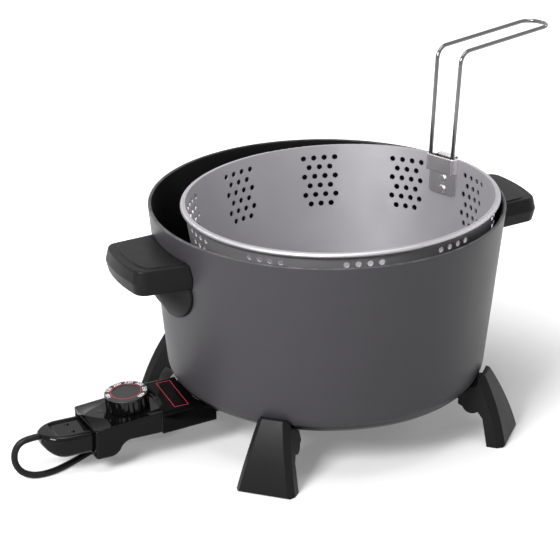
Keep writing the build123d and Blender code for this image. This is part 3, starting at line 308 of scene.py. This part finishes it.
class Finish:
    """A node tree under construction: a material's, or the world's."""

    def __init__(self, owner):
        owner.use_nodes = True
        self.owner = owner
        self.tree = owner.node_tree

    def node(self, kind, settings=None, sockets=None, output=0):
        """Adds a node, sets its settings, then gives its sockets their values or links."""
        made = self.tree.nodes.new(kind)
        for key, value in (settings or {}).items():
            setattr(made, key, value)
        for key, value in (sockets or {}).items():
            self.feed(made.inputs[key], value)
        return Socket(self, made.outputs[output])

    def feed(self, target, value):
        """Links a socket to an output, or sets its value; a colour gets full alpha."""
        if isinstance(value, Socket):
            self.tree.links.new(value.output, target)
        elif target.type == "RGBA":
            target.default_value = (*value, 1.0)
        else:
            target.default_value = value

    def place(self):
        """Object coordinates, which are the row frame's metres."""
        return self.node("ShaderNodeTexCoord", output="Object")

    def split(self, vector):
        """The three numbers of a vector."""
        parts = self.node("ShaderNodeSeparateXYZ", sockets={"Vector": vector}).output.node
        return [Socket(self, output) for output in parts.outputs]

    def stretched(self, scale):
        """Object coordinates stretched by a scale per axis."""
        return self.node("ShaderNodeMapping", sockets={"Vector": self.place(), "Scale": scale})

    def noise(self, scale, detail, vector=None):
        """Noise from 0 to 1 with about `scale` lumps to the metre."""
        return self.node("ShaderNodeTexNoise", sockets={
            "Vector": vector or self.place(), "Scale": scale, "Detail": detail})

    def mix(self, share, first, second):
        """A colour between two others."""
        return self.node(
            "ShaderNodeMix", {"data_type": "RGBA"}, {"Factor": share, 6: first, 7: second}, output=2)

    def tinted(self, base, share, change):
        """A colour that varies by a share of itself with a 0 to 1 value."""
        dark = tuple(c * (1 - share) for c in base)
        light = tuple(min(1.0, c * (1 + share)) for c in base)
        return self.mix(change, dark, light)

    def bump(self, height, distance, strength, edge=0.0):
        """Fine relief, over edges that are softened to a radius where one is given."""
        sockets = {"Height": height, "Distance": distance, "Strength": strength}
        if edge:
            sockets["Normal"] = self.node("ShaderNodeBevel", {"samples": 8}, {"Radius": edge})
        return self.node("ShaderNodeBump", sockets=sockets)

    def surface(self, **sockets):
        """Sets or links the Principled shader's sockets, named with underscores for spaces."""
        shader = self.tree.nodes["Principled BSDF"]
        for key, value in sockets.items():
            self.feed(shader.inputs[key.replace("_", " ")], value)
        return self.owner


def new_finish(name):
    """A new material's node tree."""
    return Finish(bpy.data.materials.new(name))


def pot_finish(colours):
    """Satin dark coat outside, black non-stick inside, and at the rim a lighter edge that is partly rubbed wear
    and partly a painted highlight, told apart by place.
    """
    f = new_finish("pot_coating")
    x, y, z = f.split(f.place())
    radius = (x * x + y * y) ** 0.5
    depth = RIM_RADIUS - POT_TAPER * (RIM_HEIGHT - z) - radius
    past_half_wall = depth.rise(1.3 * MM, 1.7 * MM)
    over_underside = z.rise(BASE_HEIGHT + 2 * MM, BASE_HEIGHT + 3 * MM)
    inside = past_half_wall * over_underside
    # Painted highlight, partly rubbed wear: the top of the rim is lightened towards bare metal in noisy patches
    rim = z.rise(RIM_HEIGHT - 0.9 * MM, RIM_HEIGHT - 0.3 * MM) * f.noise(90, detail=4).rise(0.30, 0.75)
    cloud = f.noise(28, detail=3)
    grain = f.noise(1500, detail=2)
    outside = f.tinted(colours.pot_outside, 0.10, cloud * 0.6 + grain * 0.4)
    speck = f.noise(2600, detail=1).rise(0.66, 0.74)
    within = f.mix(speck * 0.25, colours.pot_inside, colours.pot_speck)
    coat = f.mix(inside, outside, within)
    return f.surface(
        Base_Color=f.mix(rim * 0.12, coat, colours.bare_metal),
        Roughness=0.43 + (cloud - 0.5) * 0.10 - inside * 0.08 - rim * 0.06,
        Specular_IOR_Level=0.23,
        Normal=f.bump(grain * 0.7 + f.noise(420, detail=2) * 0.3, distance=0.02 * MM, strength=0.5),
    )


def basket_finish(colours):
    """Spun aluminium: fine rings round the wall, a cloudy satin and a soft sheen."""
    f = new_finish("basket_aluminium")
    rings = f.noise(1.0, detail=3, vector=f.stretched((25.0, 25.0, 2600.0)))
    cloud = f.noise(35, detail=3)
    return f.surface(
        Base_Color=f.tinted(colours.bare_metal, 0.08, rings * 0.5 + cloud * 0.5),
        Metallic=0.80,
        Roughness=0.46 + rings * 0.10 + (cloud - 0.5) * 0.08,
        Normal=f.bump(rings, distance=0.012 * MM, strength=0.6),
    )


def moulding_finish(colours):
    """Heat-proof moulding with a fine spark grain and slightly polished high spots."""
    f = new_finish("moulded_black")
    grain = f.noise(2200, detail=3)
    wear = f.noise(60, detail=4)
    return f.surface(
        Base_Color=f.tinted(colours.moulding, 0.25, wear * 0.5 + grain * 0.5),
        Roughness=0.42 + (wear - 0.5) * 0.14 + (grain - 0.5) * 0.08,
        Specular_IOR_Level=0.12,
        Normal=f.bump(grain, distance=0.03 * MM, strength=0.45, edge=1.6 * MM),
    )


def gloss_finish(colours, name, edge, shine):
    """Polished moulding with rounded edges, faint flow waves and handling marks."""
    f = new_finish(name)
    smear = f.noise(90, detail=4)
    return f.surface(
        Base_Color=f.tinted(colours.gloss, 0.3, smear),
        Roughness=0.06 + smear.rise(0.45, 0.8) * 0.08,
        Specular_IOR_Level=shine,
        Normal=f.bump(f.noise(140, detail=2), distance=0.015 * MM, strength=0.30, edge=edge),
    )


def dial_finish(colours):
    """Gloss sides under a satin face, told apart by height along the dial's own axis."""
    f = new_finish("dial_knob")
    x, _, z = f.split(f.place())
    along = (x - DIAL_SEAT.x) * -math.sin(DIAL_LEAN) + (z - DIAL_SEAT.z) * math.cos(DIAL_LEAN)
    face = along.rise(DIAL_DISC_HEIGHT - 0.2 * MM, DIAL_DISC_HEIGHT - 0.1 * MM)
    smear = f.noise(120, detail=4)
    grain = f.noise(2600, detail=2)
    sides = f.tinted(colours.gloss, 0.3, smear)
    return f.surface(
        Base_Color=f.mix(face, sides, f.tinted(colours.dial_face, 0.15, grain)),
        Roughness=0.12 + smear * 0.10 + face * 0.26,
        Specular_IOR_Level=0.30,
        Normal=f.bump(grain, distance=0.01 * MM, strength=0.4, edge=0.5 * MM),
    )


def metal_finish(name, base, roughness, lines, edge=0.0):
    """Drawn or rolled metal with fine lines; lines gives the stretch of their noise along each axis."""
    f = new_finish(name)
    streak = f.noise(1.0, detail=3, vector=f.stretched(lines))
    cloud = f.noise(70, detail=3)
    return f.surface(
        Base_Color=f.tinted(base, 0.10, streak * 0.6 + cloud * 0.4),
        Metallic=1.0,
        Roughness=roughness + (streak - 0.5) * 0.10 + (cloud - 0.5) * 0.06,
        Normal=f.bump(streak, distance=0.008 * MM, strength=0.5, edge=edge),
    )


def rubber_finish(colours):
    """Smooth rubber with a fine bloom and dusting."""
    f = new_finish("cord_rubber")
    bloom = f.noise(160, detail=4)
    grain = f.noise(3000, detail=2)
    return f.surface(
        Base_Color=f.tinted(colours.rubber, 0.35, bloom),
        Roughness=0.30 + bloom * 0.14,
        Specular_IOR_Level=0.15,
        Normal=f.bump(grain, distance=0.015 * MM, strength=0.5),
    )


def print_finish(name, base):
    """Screen print: flat ink with slight thin places."""
    f = new_finish(name)
    thin = f.noise(1800, detail=3)
    return f.surface(Base_Color=f.tinted(base, 0.10, thin), Roughness=0.45 + thin * 0.10)


def dress(material, *nodes):
    """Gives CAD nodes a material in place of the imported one."""
    for node in nodes:
        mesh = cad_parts[node].data
        mesh.materials.clear()
        mesh.materials.append(material)


def add_piece(name, data, material, body):
    """An object at the origin for a mesh or curve, riding on a body."""
    data.materials.append(material)
    piece = bpy.data.objects.new(name, data)
    bpy.context.scene.collection.objects.link(piece)
    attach(piece, body)
    return piece


def new_piece(name, points, faces, material, body, slot):
    """A piece whose mesh is made from points in metres and lists of their numbers."""
    mesh = bpy.data.meshes.new(name)
    mesh.from_pydata(points.reshape(-1, 3).tolist(), [], faces)
    mesh.validate()
    return add_piece(name, mesh, material, body)


def smooth(piece, sharp):
    """Smooth shading, broken at edges sharper than an angle."""
    mesh = piece.data
    mesh.polygons.foreach_set("use_smooth", np.ones(len(mesh.polygons), bool))
    mesh.set_sharp_from_angle(angle=sharp)


def strips(rows, columns, spans):
    """Quads between each of the first `spans` rows of a grid and the next row.

    Row i, column j is point i * columns + j. The last column joins the first, and past the last row comes the
    first.
    """
    i, j = np.meshgrid(np.arange(spans), np.arange(columns), indexing="ij")
    after = (i + 1) % rows
    beside = (j + 1) % columns
    quads = [i * columns + j, after * columns + j, after * columns + beside, i * columns + beside]
    return np.stack(quads, -1).reshape(-1, 4).tolist()


def capped_tube(rows, columns):
    """Faces of a tube along the rows, with a flat face at each end.

    They point outwards where a row is counter-clockwise seen from the tube's first end.
    """
    ring = np.arange(columns)
    far_ring = ring[::-1] + (rows - 1) * columns
    return strips(rows, columns, rows - 1) + [ring.tolist(), far_ring.tolist()]


def band(outline, width, low, high):
    """Flat band inside a counter-clockwise outline: its section is a box `width` across from low to high.

    With m and n the inward normals of the two sides at a corner, the inner edge is the outline moved by
    width * (m + n) / (1 + m . n), so the band keeps its width on both sides of the corner. Rows follow the
    outline, columns the section's four corners.
    """
    outline = np.asarray(outline, float)
    ahead = np.roll(outline, -1, 0) - outline
    ahead /= np.linalg.norm(ahead, axis=1)[:, None]
    behind = np.roll(ahead, 1, 0)
    normal = np.stack([-ahead[:, 1], ahead[:, 0]], 1)
    other = np.stack([-behind[:, 1], behind[:, 0]], 1)
    mitre = (normal + other) / (1 + np.sum(normal * other, 1))[:, None]
    inner = outline + width * mitre
    section = [(outline, low), (outline, high), (inner, high), (inner, low)]
    points = np.stack([np.column_stack([edge, np.full(len(edge), z)]) for edge, z in section], 1)
    return points.reshape(-1, 3), strips(len(outline), len(section), len(outline))


def prism(outline, low, high):
    """Upright prism over a counter-clockwise outline: the outline at two heights, as a capped tube."""
    points = np.stack([np.column_stack([outline, np.full(len(outline), z)]) for z in (high, low)])
    return points.reshape(-1, 3), capped_tube(2, len(outline))


def circle(radius, sides):
    """Counter-clockwise points radius * (cos a, sin a)."""
    angle = np.linspace(0, 2 * np.pi, sides, endpoint=False)
    return radius * np.stack([np.cos(angle), np.sin(angle)], 1)


def placed(points, matrix):
    """Points carried by a 4 by 4 matrix."""
    matrix = np.array(matrix)
    return points @ matrix[:3, :3].T + matrix[:3, 3]


def line(x, start, end):
    """Height over x of the straight line through two (x, z) points."""
    return start[1] + (end[1] - start[1]) * (x - start[0]) / (end[0] - start[0])


def smoothstep(value, low, high):
    """0 below low, 1 above high, and 3 t t - 2 t t t between."""
    t = np.clip((value - low) / (high - low), 0.0, 1.0)
    return t * t * (3 - 2 * t)


def figure_mesh(words, height, thickness):
    """A number as a thin solid centred on the origin, from Blender's own letter shapes."""
    curve = bpy.data.curves.new("figure", "FONT")
    curve.body = words
    curve.size = height / FIGURE_SHARE
    curve.align_x = "CENTER"
    curve.align_y = "CENTER"
    curve.extrude = thickness / 2
    curve.offset = FIGURE_THICKENING * height
    curve.resolution_u = 4
    holder = bpy.data.objects.new("figure", curve)
    bpy.context.scene.collection.objects.link(holder)
    bpy.context.view_layer.update()
    mesh = bpy.data.meshes.new_from_object(holder.evaluated_get(bpy.context.evaluated_depsgraph_get()))
    bpy.data.objects.remove(holder)
    bpy.data.curves.remove(curve)
    return mesh


class KETTLE_OT_lead(bpy.types.Operator):
    """Lead on one smooth spline from the plug's nose to the wall plug, with its coil and tie"""

    bl_idname = "kettle.lead"
    bl_label = "Lead"

    def route(self):
        """Control points in metres: the lead, the coil, and a tail that leaves it straight and turns to +X.

        The coil spirals in, climbs one layer over half a turn at its middle, and spirals out.
        """
        turn = np.arange(1, int(COIL_TURNS * COIL_POINTS_PER_TURN) + 1) / COIL_POINTS_PER_TURN
        radius = COIL_RADIUS - COIL_PITCH * np.minimum(turn, COIL_TURNS - turn)
        climb = np.clip(turn - COIL_TURNS / 2 + 0.25, 0.0, 0.5) * 2
        angle = 2 * np.pi * turn - np.pi / 2
        x = COIL_CENTRE[0] + radius * np.cos(angle)
        y = COIL_CENTRE[1] + radius * np.sin(angle)
        z = COIL_FLOOR + COIL_LAYER * (1 - np.cos(np.pi * climb)) / 2
        coil = np.stack([x, y, z], 1)
        corner = coil[-1] + TAIL_RUN * np.array([-np.sin(angle[-1]), np.cos(angle[-1]), 0.0])
        return np.concatenate([LEAD_POINTS, coil, [corner, corner + (TAIL_END, 0.0, 0.0)]]) * MM

    def execute(self, context):
        colours, sizes = context.scene.kettle_colours, context.scene.kettle_sizes
        route = self.route()
        curve = bpy.data.curves.new("power_cord", "CURVE")
        curve.dimensions = "3D"
        curve.bevel_depth = CORD_RADIUS * MM
        curve.bevel_resolution = sizes.lead_roundness
        curve.use_fill_caps = True
        curve.resolution_u = 8
        spline = curve.splines.new("NURBS")
        spline.points.add(len(route) - 1)
        spline.points.foreach_set("co", np.column_stack([route, np.ones(len(route))]).ravel())
        spline.order_u = 3
        spline.use_endpoint_u = True
        rubber = rubber_finish(colours)
        cord = add_piece("power_cord", curve, rubber, "cord_plug")
        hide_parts("cord_lead", "cord_coil", "cord_tail")
        dress(rubber, "coil_tie", "wall_plug")
        return {"FINISHED"}


class KETTLE_OT_pot(bpy.types.Operator):
    """Pot, element, sleeve, and the plain metal of the whole part"""

    bl_idname = "kettle.pot"
    bl_label = "Pot"

    def execute(self, context):
        colours = context.scene.kettle_colours
        dress(pot_finish(colours), "pot_shell")
        plain = metal_finish("plain_steel", colours.plain_steel, roughness=0.45, lines=(900.0, 60.0, 60.0))
        dress(plain, "heating_element", "handle_studs", "handle_screws", "leg_screws", "housing_screws",
              "temperature_probe", "dial_shaft", "receptacle_magnet", "plug_magnet")
        sleeve = metal_finish(
            "sleeve_aluminium", colours.bare_metal, roughness=0.42, lines=(60.0, 900.0, 60.0))
        dress(sleeve, "probe_sleeve")
        brass = metal_finish("contact_brass", colours.brass, roughness=0.30, lines=(60.0, 900.0, 900.0))
        dress(brass, "terminal_pins", "terminal_sockets", "receptacle_pins", "plug_contacts", "plug_blades")
        return {"FINISHED"}


class KETTLE_OT_mouldings(bpy.types.Operator):
    """Side handles, legs and the control's switch block"""

    bl_idname = "kettle.mouldings"
    bl_label = "Handles and legs"

    def execute(self, context):
        moulding = moulding_finish(context.scene.kettle_colours)
        dress(moulding, "left_handle", "right_handle", "leg_front_left", "leg_front_right", "leg_back_left",
              "leg_back_right", "thermostat_block")
        return {"FINISHED"}


class KETTLE_OT_basket(bpy.types.Operator):
    """Perforated basket, its clip and its wire handle"""

    bl_idname = "kettle.basket"
    bl_label = "Basket"

    def execute(self, context):
        colours = context.scene.kettle_colours
        dress(basket_finish(colours), "basket_shell")
        bright = metal_finish(
            "clip_steel", colours.bright_steel, roughness=0.24, lines=(500.0, 500.0, 40.0), edge=1.5 * MM)
        dress(bright, "basket_bracket", "bracket_rivets")
        chrome = metal_finish("wire_chrome", colours.chrome, roughness=0.14, lines=(120.0, 120.0, 120.0))
        dress(chrome, "wire_handle")
        return {"FINISHED"}


class KETTLE_OT_control(bpy.types.Operator):
    """Heat control's casing, with its curved cover, the keyline on the hood and the mark on the cover"""

    bl_idname = "kettle.control"
    bl_label = "Heat control"

    def execute(self, context):
        colours, sizes = context.scene.kettle_colours, context.scene.kettle_sizes
        dress(gloss_finish(colours, "casing_gloss", edge=2.6 * MM, shine=0.13), "control_lower_housing")
        self.cover(gloss_finish(colours, "cover_gloss", edge=0.8 * MM, shine=0.15))
        dress(gloss_finish(colours, "hood_gloss", edge=2.6 * MM, shine=0.06), "control_hood")
        self.keyline(print_finish("keyline_red", colours.print_red), sizes)
        self.mark(print_finish("mark_black", colours.print_black), sizes)
        return {"FINISHED"}

    def cover_top(self, x, y):
        """Height of the cover over places in millimetres.

        The middle follows the dial's sloped seat to the hip and then climbs to the ridge at the outer end,
        with a rounded valley between: half of a + b + sqrt((a - b) ** 2 + (2 * valley) ** 2) for lines a and
        b. A crease leaves the ridge along a power curve. Outside it the height falls to the side edge as
        (1 - q) ** 2, where q is the share of the way from the crease to the edge.
        """
        seat = line(x, *COVER_SEAT)
        climb = line(x, *COVER_CLIMB)
        middle = (seat + climb + np.hypot(seat - climb, 2 * COVER_VALLEY)) / 2
        crease = np.minimum(CREASE_FACTOR * np.maximum(x - COVER_END, 0.0) ** CREASE_POWER, CREASE_MOST)
        q = np.clip((np.abs(y) / COVER_HALF_WIDTH - crease) / (1 - crease), 0.0, 1.0)
        low = line(x, *COVER_EDGE) + COVER_LIP
        return low + (middle - low) * (1 - q) ** 2

    def cover(self, gloss):
        """Cover with a saddle each side of the dial: sections across it, from the hood's seam to its end.

        Within a corner's radius r of the end, at a depth d into the corner, the half width loses
        r - sqrt(r ** 2 - d ** 2).
        """
        x = np.linspace(COVER_SEAM, COVER_END, COVER_ROWS)[:, None]
        depth = np.clip(COVER_CORNER - (x - COVER_END), 0.0, COVER_CORNER)
        half = COVER_HALF_WIDTH - COVER_CORNER + np.sqrt(COVER_CORNER ** 2 - depth ** 2)
        y = half * np.linspace(1, -1, COVER_COLUMNS)
        edge = line(x, *COVER_EDGE)
        across = np.hstack([y, -half, half])
        height = np.hstack([self.cover_top(x, y), edge, edge])
        points = np.stack([np.broadcast_to(x, across.shape), across, height], -1) * MM
        faces = capped_tube(*across.shape)
        piece = new_piece("control_cover", points, faces, gloss, "heat_control", "gloss_black")
        smooth(piece, COVER_SHARP)
        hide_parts("control_upper_housing")

    def keyline(self, ink, sizes):
        """Line round the hood's bare panel, laid on the sloped top: z = middle + rise * y."""
        low, high = np.array(KEYLINE_LOW) * MM, np.array(KEYLINE_HIGH) * MM
        outline = [(low[0], low[1]), (high[0], low[1]), (high[0], high[1]), (low[0], high[1])]
        points, faces = band(outline, sizes.keyline_width, PRINT_GAP, sizes.print_height)
        points[:, 2] += HOOD_MIDDLE + HOOD_RISE * points[:, 1]
        new_piece("hood_keyline", points, faces, ink, "heat_control", "gloss_black")

    def mark(self, ink, sizes):
        """Three-cornered mark on the cover's climbing end, on the plane through its three corners."""
        corners = np.array(MARK_CORNERS)
        lift = MARK_LIFT * MM
        points, faces = prism(corners * MM, lift, lift + 2 * sizes.print_height)
        points[:, 2] += np.tile(self.cover_top(*corners.T) * MM, 2)
        new_piece("cover_mark", points, faces, ink, "heat_control", "gloss_black")


class KETTLE_OT_plug(bpy.types.Operator):
    """Breakaway plug's body and nose with rolled shoulders, in place of the plain shells"""

    bl_idname = "kettle.plug"
    bl_label = "Breakaway plug"

    def half_width(self, x):
        """Plan: straight to the shoulder, then (1 - s ** p) ** q of the way from nose width to body width.

        The share s runs from 0 at the shoulder to 1 at the nose, and p and q are the plan's powers.
        """
        share = np.clip((PLUG_SHOULDER - x) / (PLUG_SHOULDER - PLUG_NOSE), 0.0, 1.0)
        inner, outer = PLUG_PLAN_POWERS
        return PLUG_NOSE_HALF + (PLUG_HALF_WIDTH - PLUG_NOSE_HALF) * (1 - share ** inner) ** outer

    def keel(self, x):
        """Underside: flat, then a circle's arc, level where it starts, up to the nose's height."""
        run, rise = PLUG_KEEL_START - PLUG_NOSE, PLUG_NOSE_BOTTOM - PLUG_BOTTOM
        radius = (run ** 2 + rise ** 2) / (2 * rise)
        ahead = np.clip(PLUG_KEEL_START - x, 0.0, run)
        return PLUG_BOTTOM + radius - np.sqrt(radius ** 2 - ahead ** 2)

    def section(self):
        """Rounded rectangle as three arrays: a corner centre's place across and up, and the way out from it.

        Places run from -1 to 1, and a straight side's points slide from one corner's centre to the next. The
        outline is counter-clockwise seen from +X: right side, top, left side, bottom, each with its corner.
        """
        turn = np.linspace(0, np.pi / 2, PLUG_CORNER_POINTS + 2)[1:-1]
        side = np.linspace(-1, 1, PLUG_SIDE_POINTS)
        top = np.linspace(1, -1, PLUG_TOP_POINTS)
        across, up, way = [], [], []
        for quarter, run in enumerate((side, top, -side, -top)):
            level = np.full(len(run), 1.0 if quarter < 2 else -1.0)
            upright = quarter % 2 == 0
            across += [level if upright else run]
            up += [run if upright else level]
            across += [np.full(len(turn), across[-1][-1])]
            up += [np.full(len(turn), up[-1][-1])]
            facing = quarter * np.pi / 2
            way += [np.full(len(run), facing), facing + turn]
        return np.concatenate(across), np.concatenate(up), np.concatenate(way)

    def surface(self, start, end, rows):
        """Sections from start to end along X, with a sunk deck and two round bumps in the top.

        A bump's height is 1 - (distance / radius) ** 2 of its full one.
        """
        x = np.linspace(start, end, rows)
        across, up, way = self.section()
        half, low = self.half_width(x), self.keel(x)
        tall = (PLUG_TOP - low) / 2
        corner = np.minimum(PLUG_ROUND, PLUG_ROUND_MOST * np.minimum(half, tall))
        y = np.outer(half - corner, across) + np.outer(corner, np.cos(way))
        z = (low + tall)[:, None] + np.outer(tall - corner, up) + np.outer(corner, np.sin(way))
        on_top = (up == 1) & np.isclose(way, np.pi / 2)
        deck = 1 - smoothstep(np.abs(across), *DECK_EDGE)
        sunk = np.outer(smoothstep(x, *DECK_END), deck * on_top)
        away = (x[:, None] - BUMP_PLACE[0]) ** 2 + (np.abs(y) - BUMP_PLACE[1]) ** 2
        bump = np.clip(1 - away / BUMP_RADIUS ** 2, 0.0, 1.0)
        z += BUMP_HEIGHT * bump * on_top - DECK_DEPTH * sunk
        points = np.stack([np.broadcast_to(x[:, None], y.shape), y, z], -1) * MM
        return points, capped_tube(*y.shape)

    def execute(self, context):
        gloss = gloss_finish(context.scene.kettle_colours, "plug_gloss", edge=0.5 * MM, shine=0.15)
        body = self.surface(PLUG_INNER, PLUG_SPLIT + PLUG_SPLIT_GAP, PLUG_BODY_ROWS)
        nose = self.surface(PLUG_SPLIT, PLUG_NOSE, PLUG_NOSE_ROWS)
        for name, shape, slot, stands_for in (
            ("plug_body", body, "gloss_black", ("plug_upper_shell", "plug_lower_shell")),
            ("plug_nose", nose, "cord_rubber", ("cord_bushing",)),
        ):
            piece = new_piece(name, *shape, gloss, "cord_plug", slot)
            smooth(piece, PLUG_SHARP)
            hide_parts(*stands_for)
        return {"FINISHED"}


class KETTLE_OT_dial(bpy.types.Operator):
    """Temperature dial with its figures and ring"""

    bl_idname = "kettle.dial"
    bl_label = "Dial"

    def execute(self, context):
        colours, sizes = context.scene.kettle_colours, context.scene.kettle_sizes
        dress(dial_finish(colours), "dial_knob")
        self.figures(print_finish("print_pale", colours.print_pale), sizes)
        self.ring(print_finish("print_red", colours.print_red), sizes)
        return {"FINISHED"}

    def figures(self, ink, sizes):
        """Plain numbers round the rim, each turned so that its top points outwards, joined in one mesh."""
        joined = bmesh.new()
        for number, words in enumerate(DIAL_FIGURES):
            angle = sizes.number_start + number * sizes.number_step
            spot = Vector((math.cos(angle), math.sin(angle), 0.0)) * sizes.number_circle
            spot.z = DIAL_RIM_HEIGHT + sizes.print_height / 2 + PRINT_GAP
            turned = Matrix.Rotation(angle - math.pi / 2, 4, "Z")
            figure = figure_mesh(words, sizes.number_height, sizes.print_height)
            figure.transform(DIAL_PLACE @ Matrix.Translation(spot) @ turned)
            joined.from_mesh(figure)
            bpy.data.meshes.remove(figure)
        mesh = bpy.data.meshes.new("dial_numbers")
        joined.to_mesh(mesh)
        joined.free()
        mesh.shade_flat()
        add_piece("dial_numbers", mesh, ink, "dial")

    def ring(self, ink, sizes):
        """Thin ring on the rim, inside the figures."""
        low, high = DIAL_RIM_HEIGHT + PRINT_GAP, DIAL_RIM_HEIGHT + sizes.print_height
        points, faces = band(circle(sizes.ring_radius, RING_SIDES), sizes.ring_width, low, high)
        new_piece("dial_ring", placed(points, DIAL_PLACE), faces, ink, "dial", "gloss_black")


class KETTLE_OT_stage(bpy.types.Operator):
    """Pale floor, soft lamps, world and the photograph's camera"""

    bl_idname = "kettle.stage"
    bl_label = "Stage"

    def execute(self, context):
        scene = context.scene
        scene.view_settings.view_transform = "Standard"
        self.camera(scene)
        self.world(scene)
        self.floor(scene)
        self.lamps(scene)
        return {"FINISHED"}

    def camera(self, scene):
        """Camera turned from +Y towards +X and dipped under the horizon."""
        data = bpy.data.cameras.new("photo_camera")
        data.lens = CAMERA_LENS
        data.sensor_width = CAMERA_SENSOR
        data.clip_start = CAMERA_NEAREST
        data.clip_end = CAMERA_FURTHEST
        camera = bpy.data.objects.new("photo_camera", data)
        scene.collection.objects.link(camera)
        level = Vector((math.sin(CAMERA_TURN), math.cos(CAMERA_TURN), 0.0))
        ahead = level * math.cos(CAMERA_DIP) - Vector((0, 0, math.sin(CAMERA_DIP)))
        camera.location = CAMERA_PLACE
        camera.rotation_euler = ahead.to_track_quat("-Z", "Y").to_euler()
        scene.camera = camera

    def seen(self, f):
        """1 for camera, glossy and transmission rays, 0 for those that light the object."""
        path = f.node("ShaderNodeLightPath").output.node
        camera, glossy, through = [
            Socket(f, path.outputs[f"Is {kind} Ray"]) for kind in ("Camera", "Glossy", "Transmission")]
        return camera.larger(glossy).larger(through)

    def world(self, scene):
        """White where it is seen, and a weak ambient light on the object."""
        scene.world = bpy.data.worlds.new("studio")
        f = Finish(scene.world)
        ambient = scene.kettle_sizes.ambient
        background = f.tree.nodes["Background"]
        f.feed(background.inputs["Color"], WHITE)
        f.feed(background.inputs["Strength"], ambient + self.seen(f) * (1.0 - ambient))

    def floor(self, scene):
        """Pale floor that keeps the object's shadow near it, with a glow for the camera that rises with
        distance from the object: painted light that fades the shadow to white away from it.
        """
        f = new_finish("pale_floor")
        sizes = scene.kettle_sizes
        x, y, _ = f.split(f.place())
        reach = (x * x + y * y) ** 0.5
        # Painted light: the camera's glow rises away from the object and washes out its cast shadow there
        far = reach.rise(*FAR_GLOW_REACH) * (sizes.far_glow - sizes.floor_glow)
        horizon = reach.rise(*HORIZON_REACH) * (1.0 - sizes.far_glow)
        glow = self.seen(f) * (sizes.floor_glow + far + horizon)
        material = f.surface(
            Base_Color=f.tinted(scene.kettle_colours.floor, 0.01, f.noise(3, detail=2)),
            Roughness=0.9,
            Specular_IOR_Level=0.0,
            Emission_Strength=1.0,
            Emission_Color=f.mix(glow, BLACK, WHITE),
        )
        mesh = bpy.data.meshes.new("floor")
        signs = np.array([(-1, -1, 0), (1, -1, 0), (1, 1, 0), (-1, 1, 0)])
        mesh.from_pydata((signs * FLOOR_HALF).tolist(), [], [(0, 1, 2, 3)])
        mesh.materials.append(material)
        floor = bpy.data.objects.new("floor", mesh)
        scene.collection.objects.link(floor)

    def lamps(self, scene):
        """Soft boxes from the left, the top and weakly the right, and a strip behind for glints on edges."""
        for name, place, width, height, power in LAMPS:
            lamp = bpy.data.lights.new(name, "AREA")
            lamp.shape = "RECTANGLE"
            lamp.size = width
            lamp.size_y = height
            lamp.energy = power
            holder = bpy.data.objects.new(name, lamp)
            scene.collection.objects.link(holder)
            holder.location = place
            aim = LAMP_AIM - Vector(place)
            holder.rotation_euler = aim.to_track_quat("-Z", "Y").to_euler()


OPERATORS = (KETTLE_OT_stage, KETTLE_OT_lead, KETTLE_OT_pot, KETTLE_OT_mouldings, KETTLE_OT_basket,
             KETTLE_OT_control, KETTLE_OT_plug, KETTLE_OT_dial)


class KETTLE_PT_panel(bpy.types.Panel):
    """Lists the operators that dress the kettle"""

    bl_idname = "KETTLE_PT_panel"
    bl_label = "Kettle"
    bl_space_type = "VIEW_3D"
    bl_region_type = "UI"
    bl_category = "Kettle"

    def draw(self, context):
        for operator in OPERATORS:
            self.layout.operator(operator.bl_idname)


CLASSES = (KettleColours, KettleSizes, *OPERATORS, KETTLE_PT_panel)


def register():
    for item in CLASSES:
        bpy.utils.register_class(item)
    bpy.types.Scene.kettle_colours = PointerProperty(type=KettleColours)
    bpy.types.Scene.kettle_sizes = PointerProperty(type=KettleSizes)


def unregister():
    del bpy.types.Scene.kettle_sizes
    del bpy.types.Scene.kettle_colours
    for item in reversed(CLASSES):
        bpy.utils.unregister_class(item)


def main():
    register()
    for operator in OPERATORS:
        family, name = operator.bl_idname.split(".")
        getattr(getattr(bpy.ops, family), name)()


if __name__ == "__main__":
    main()
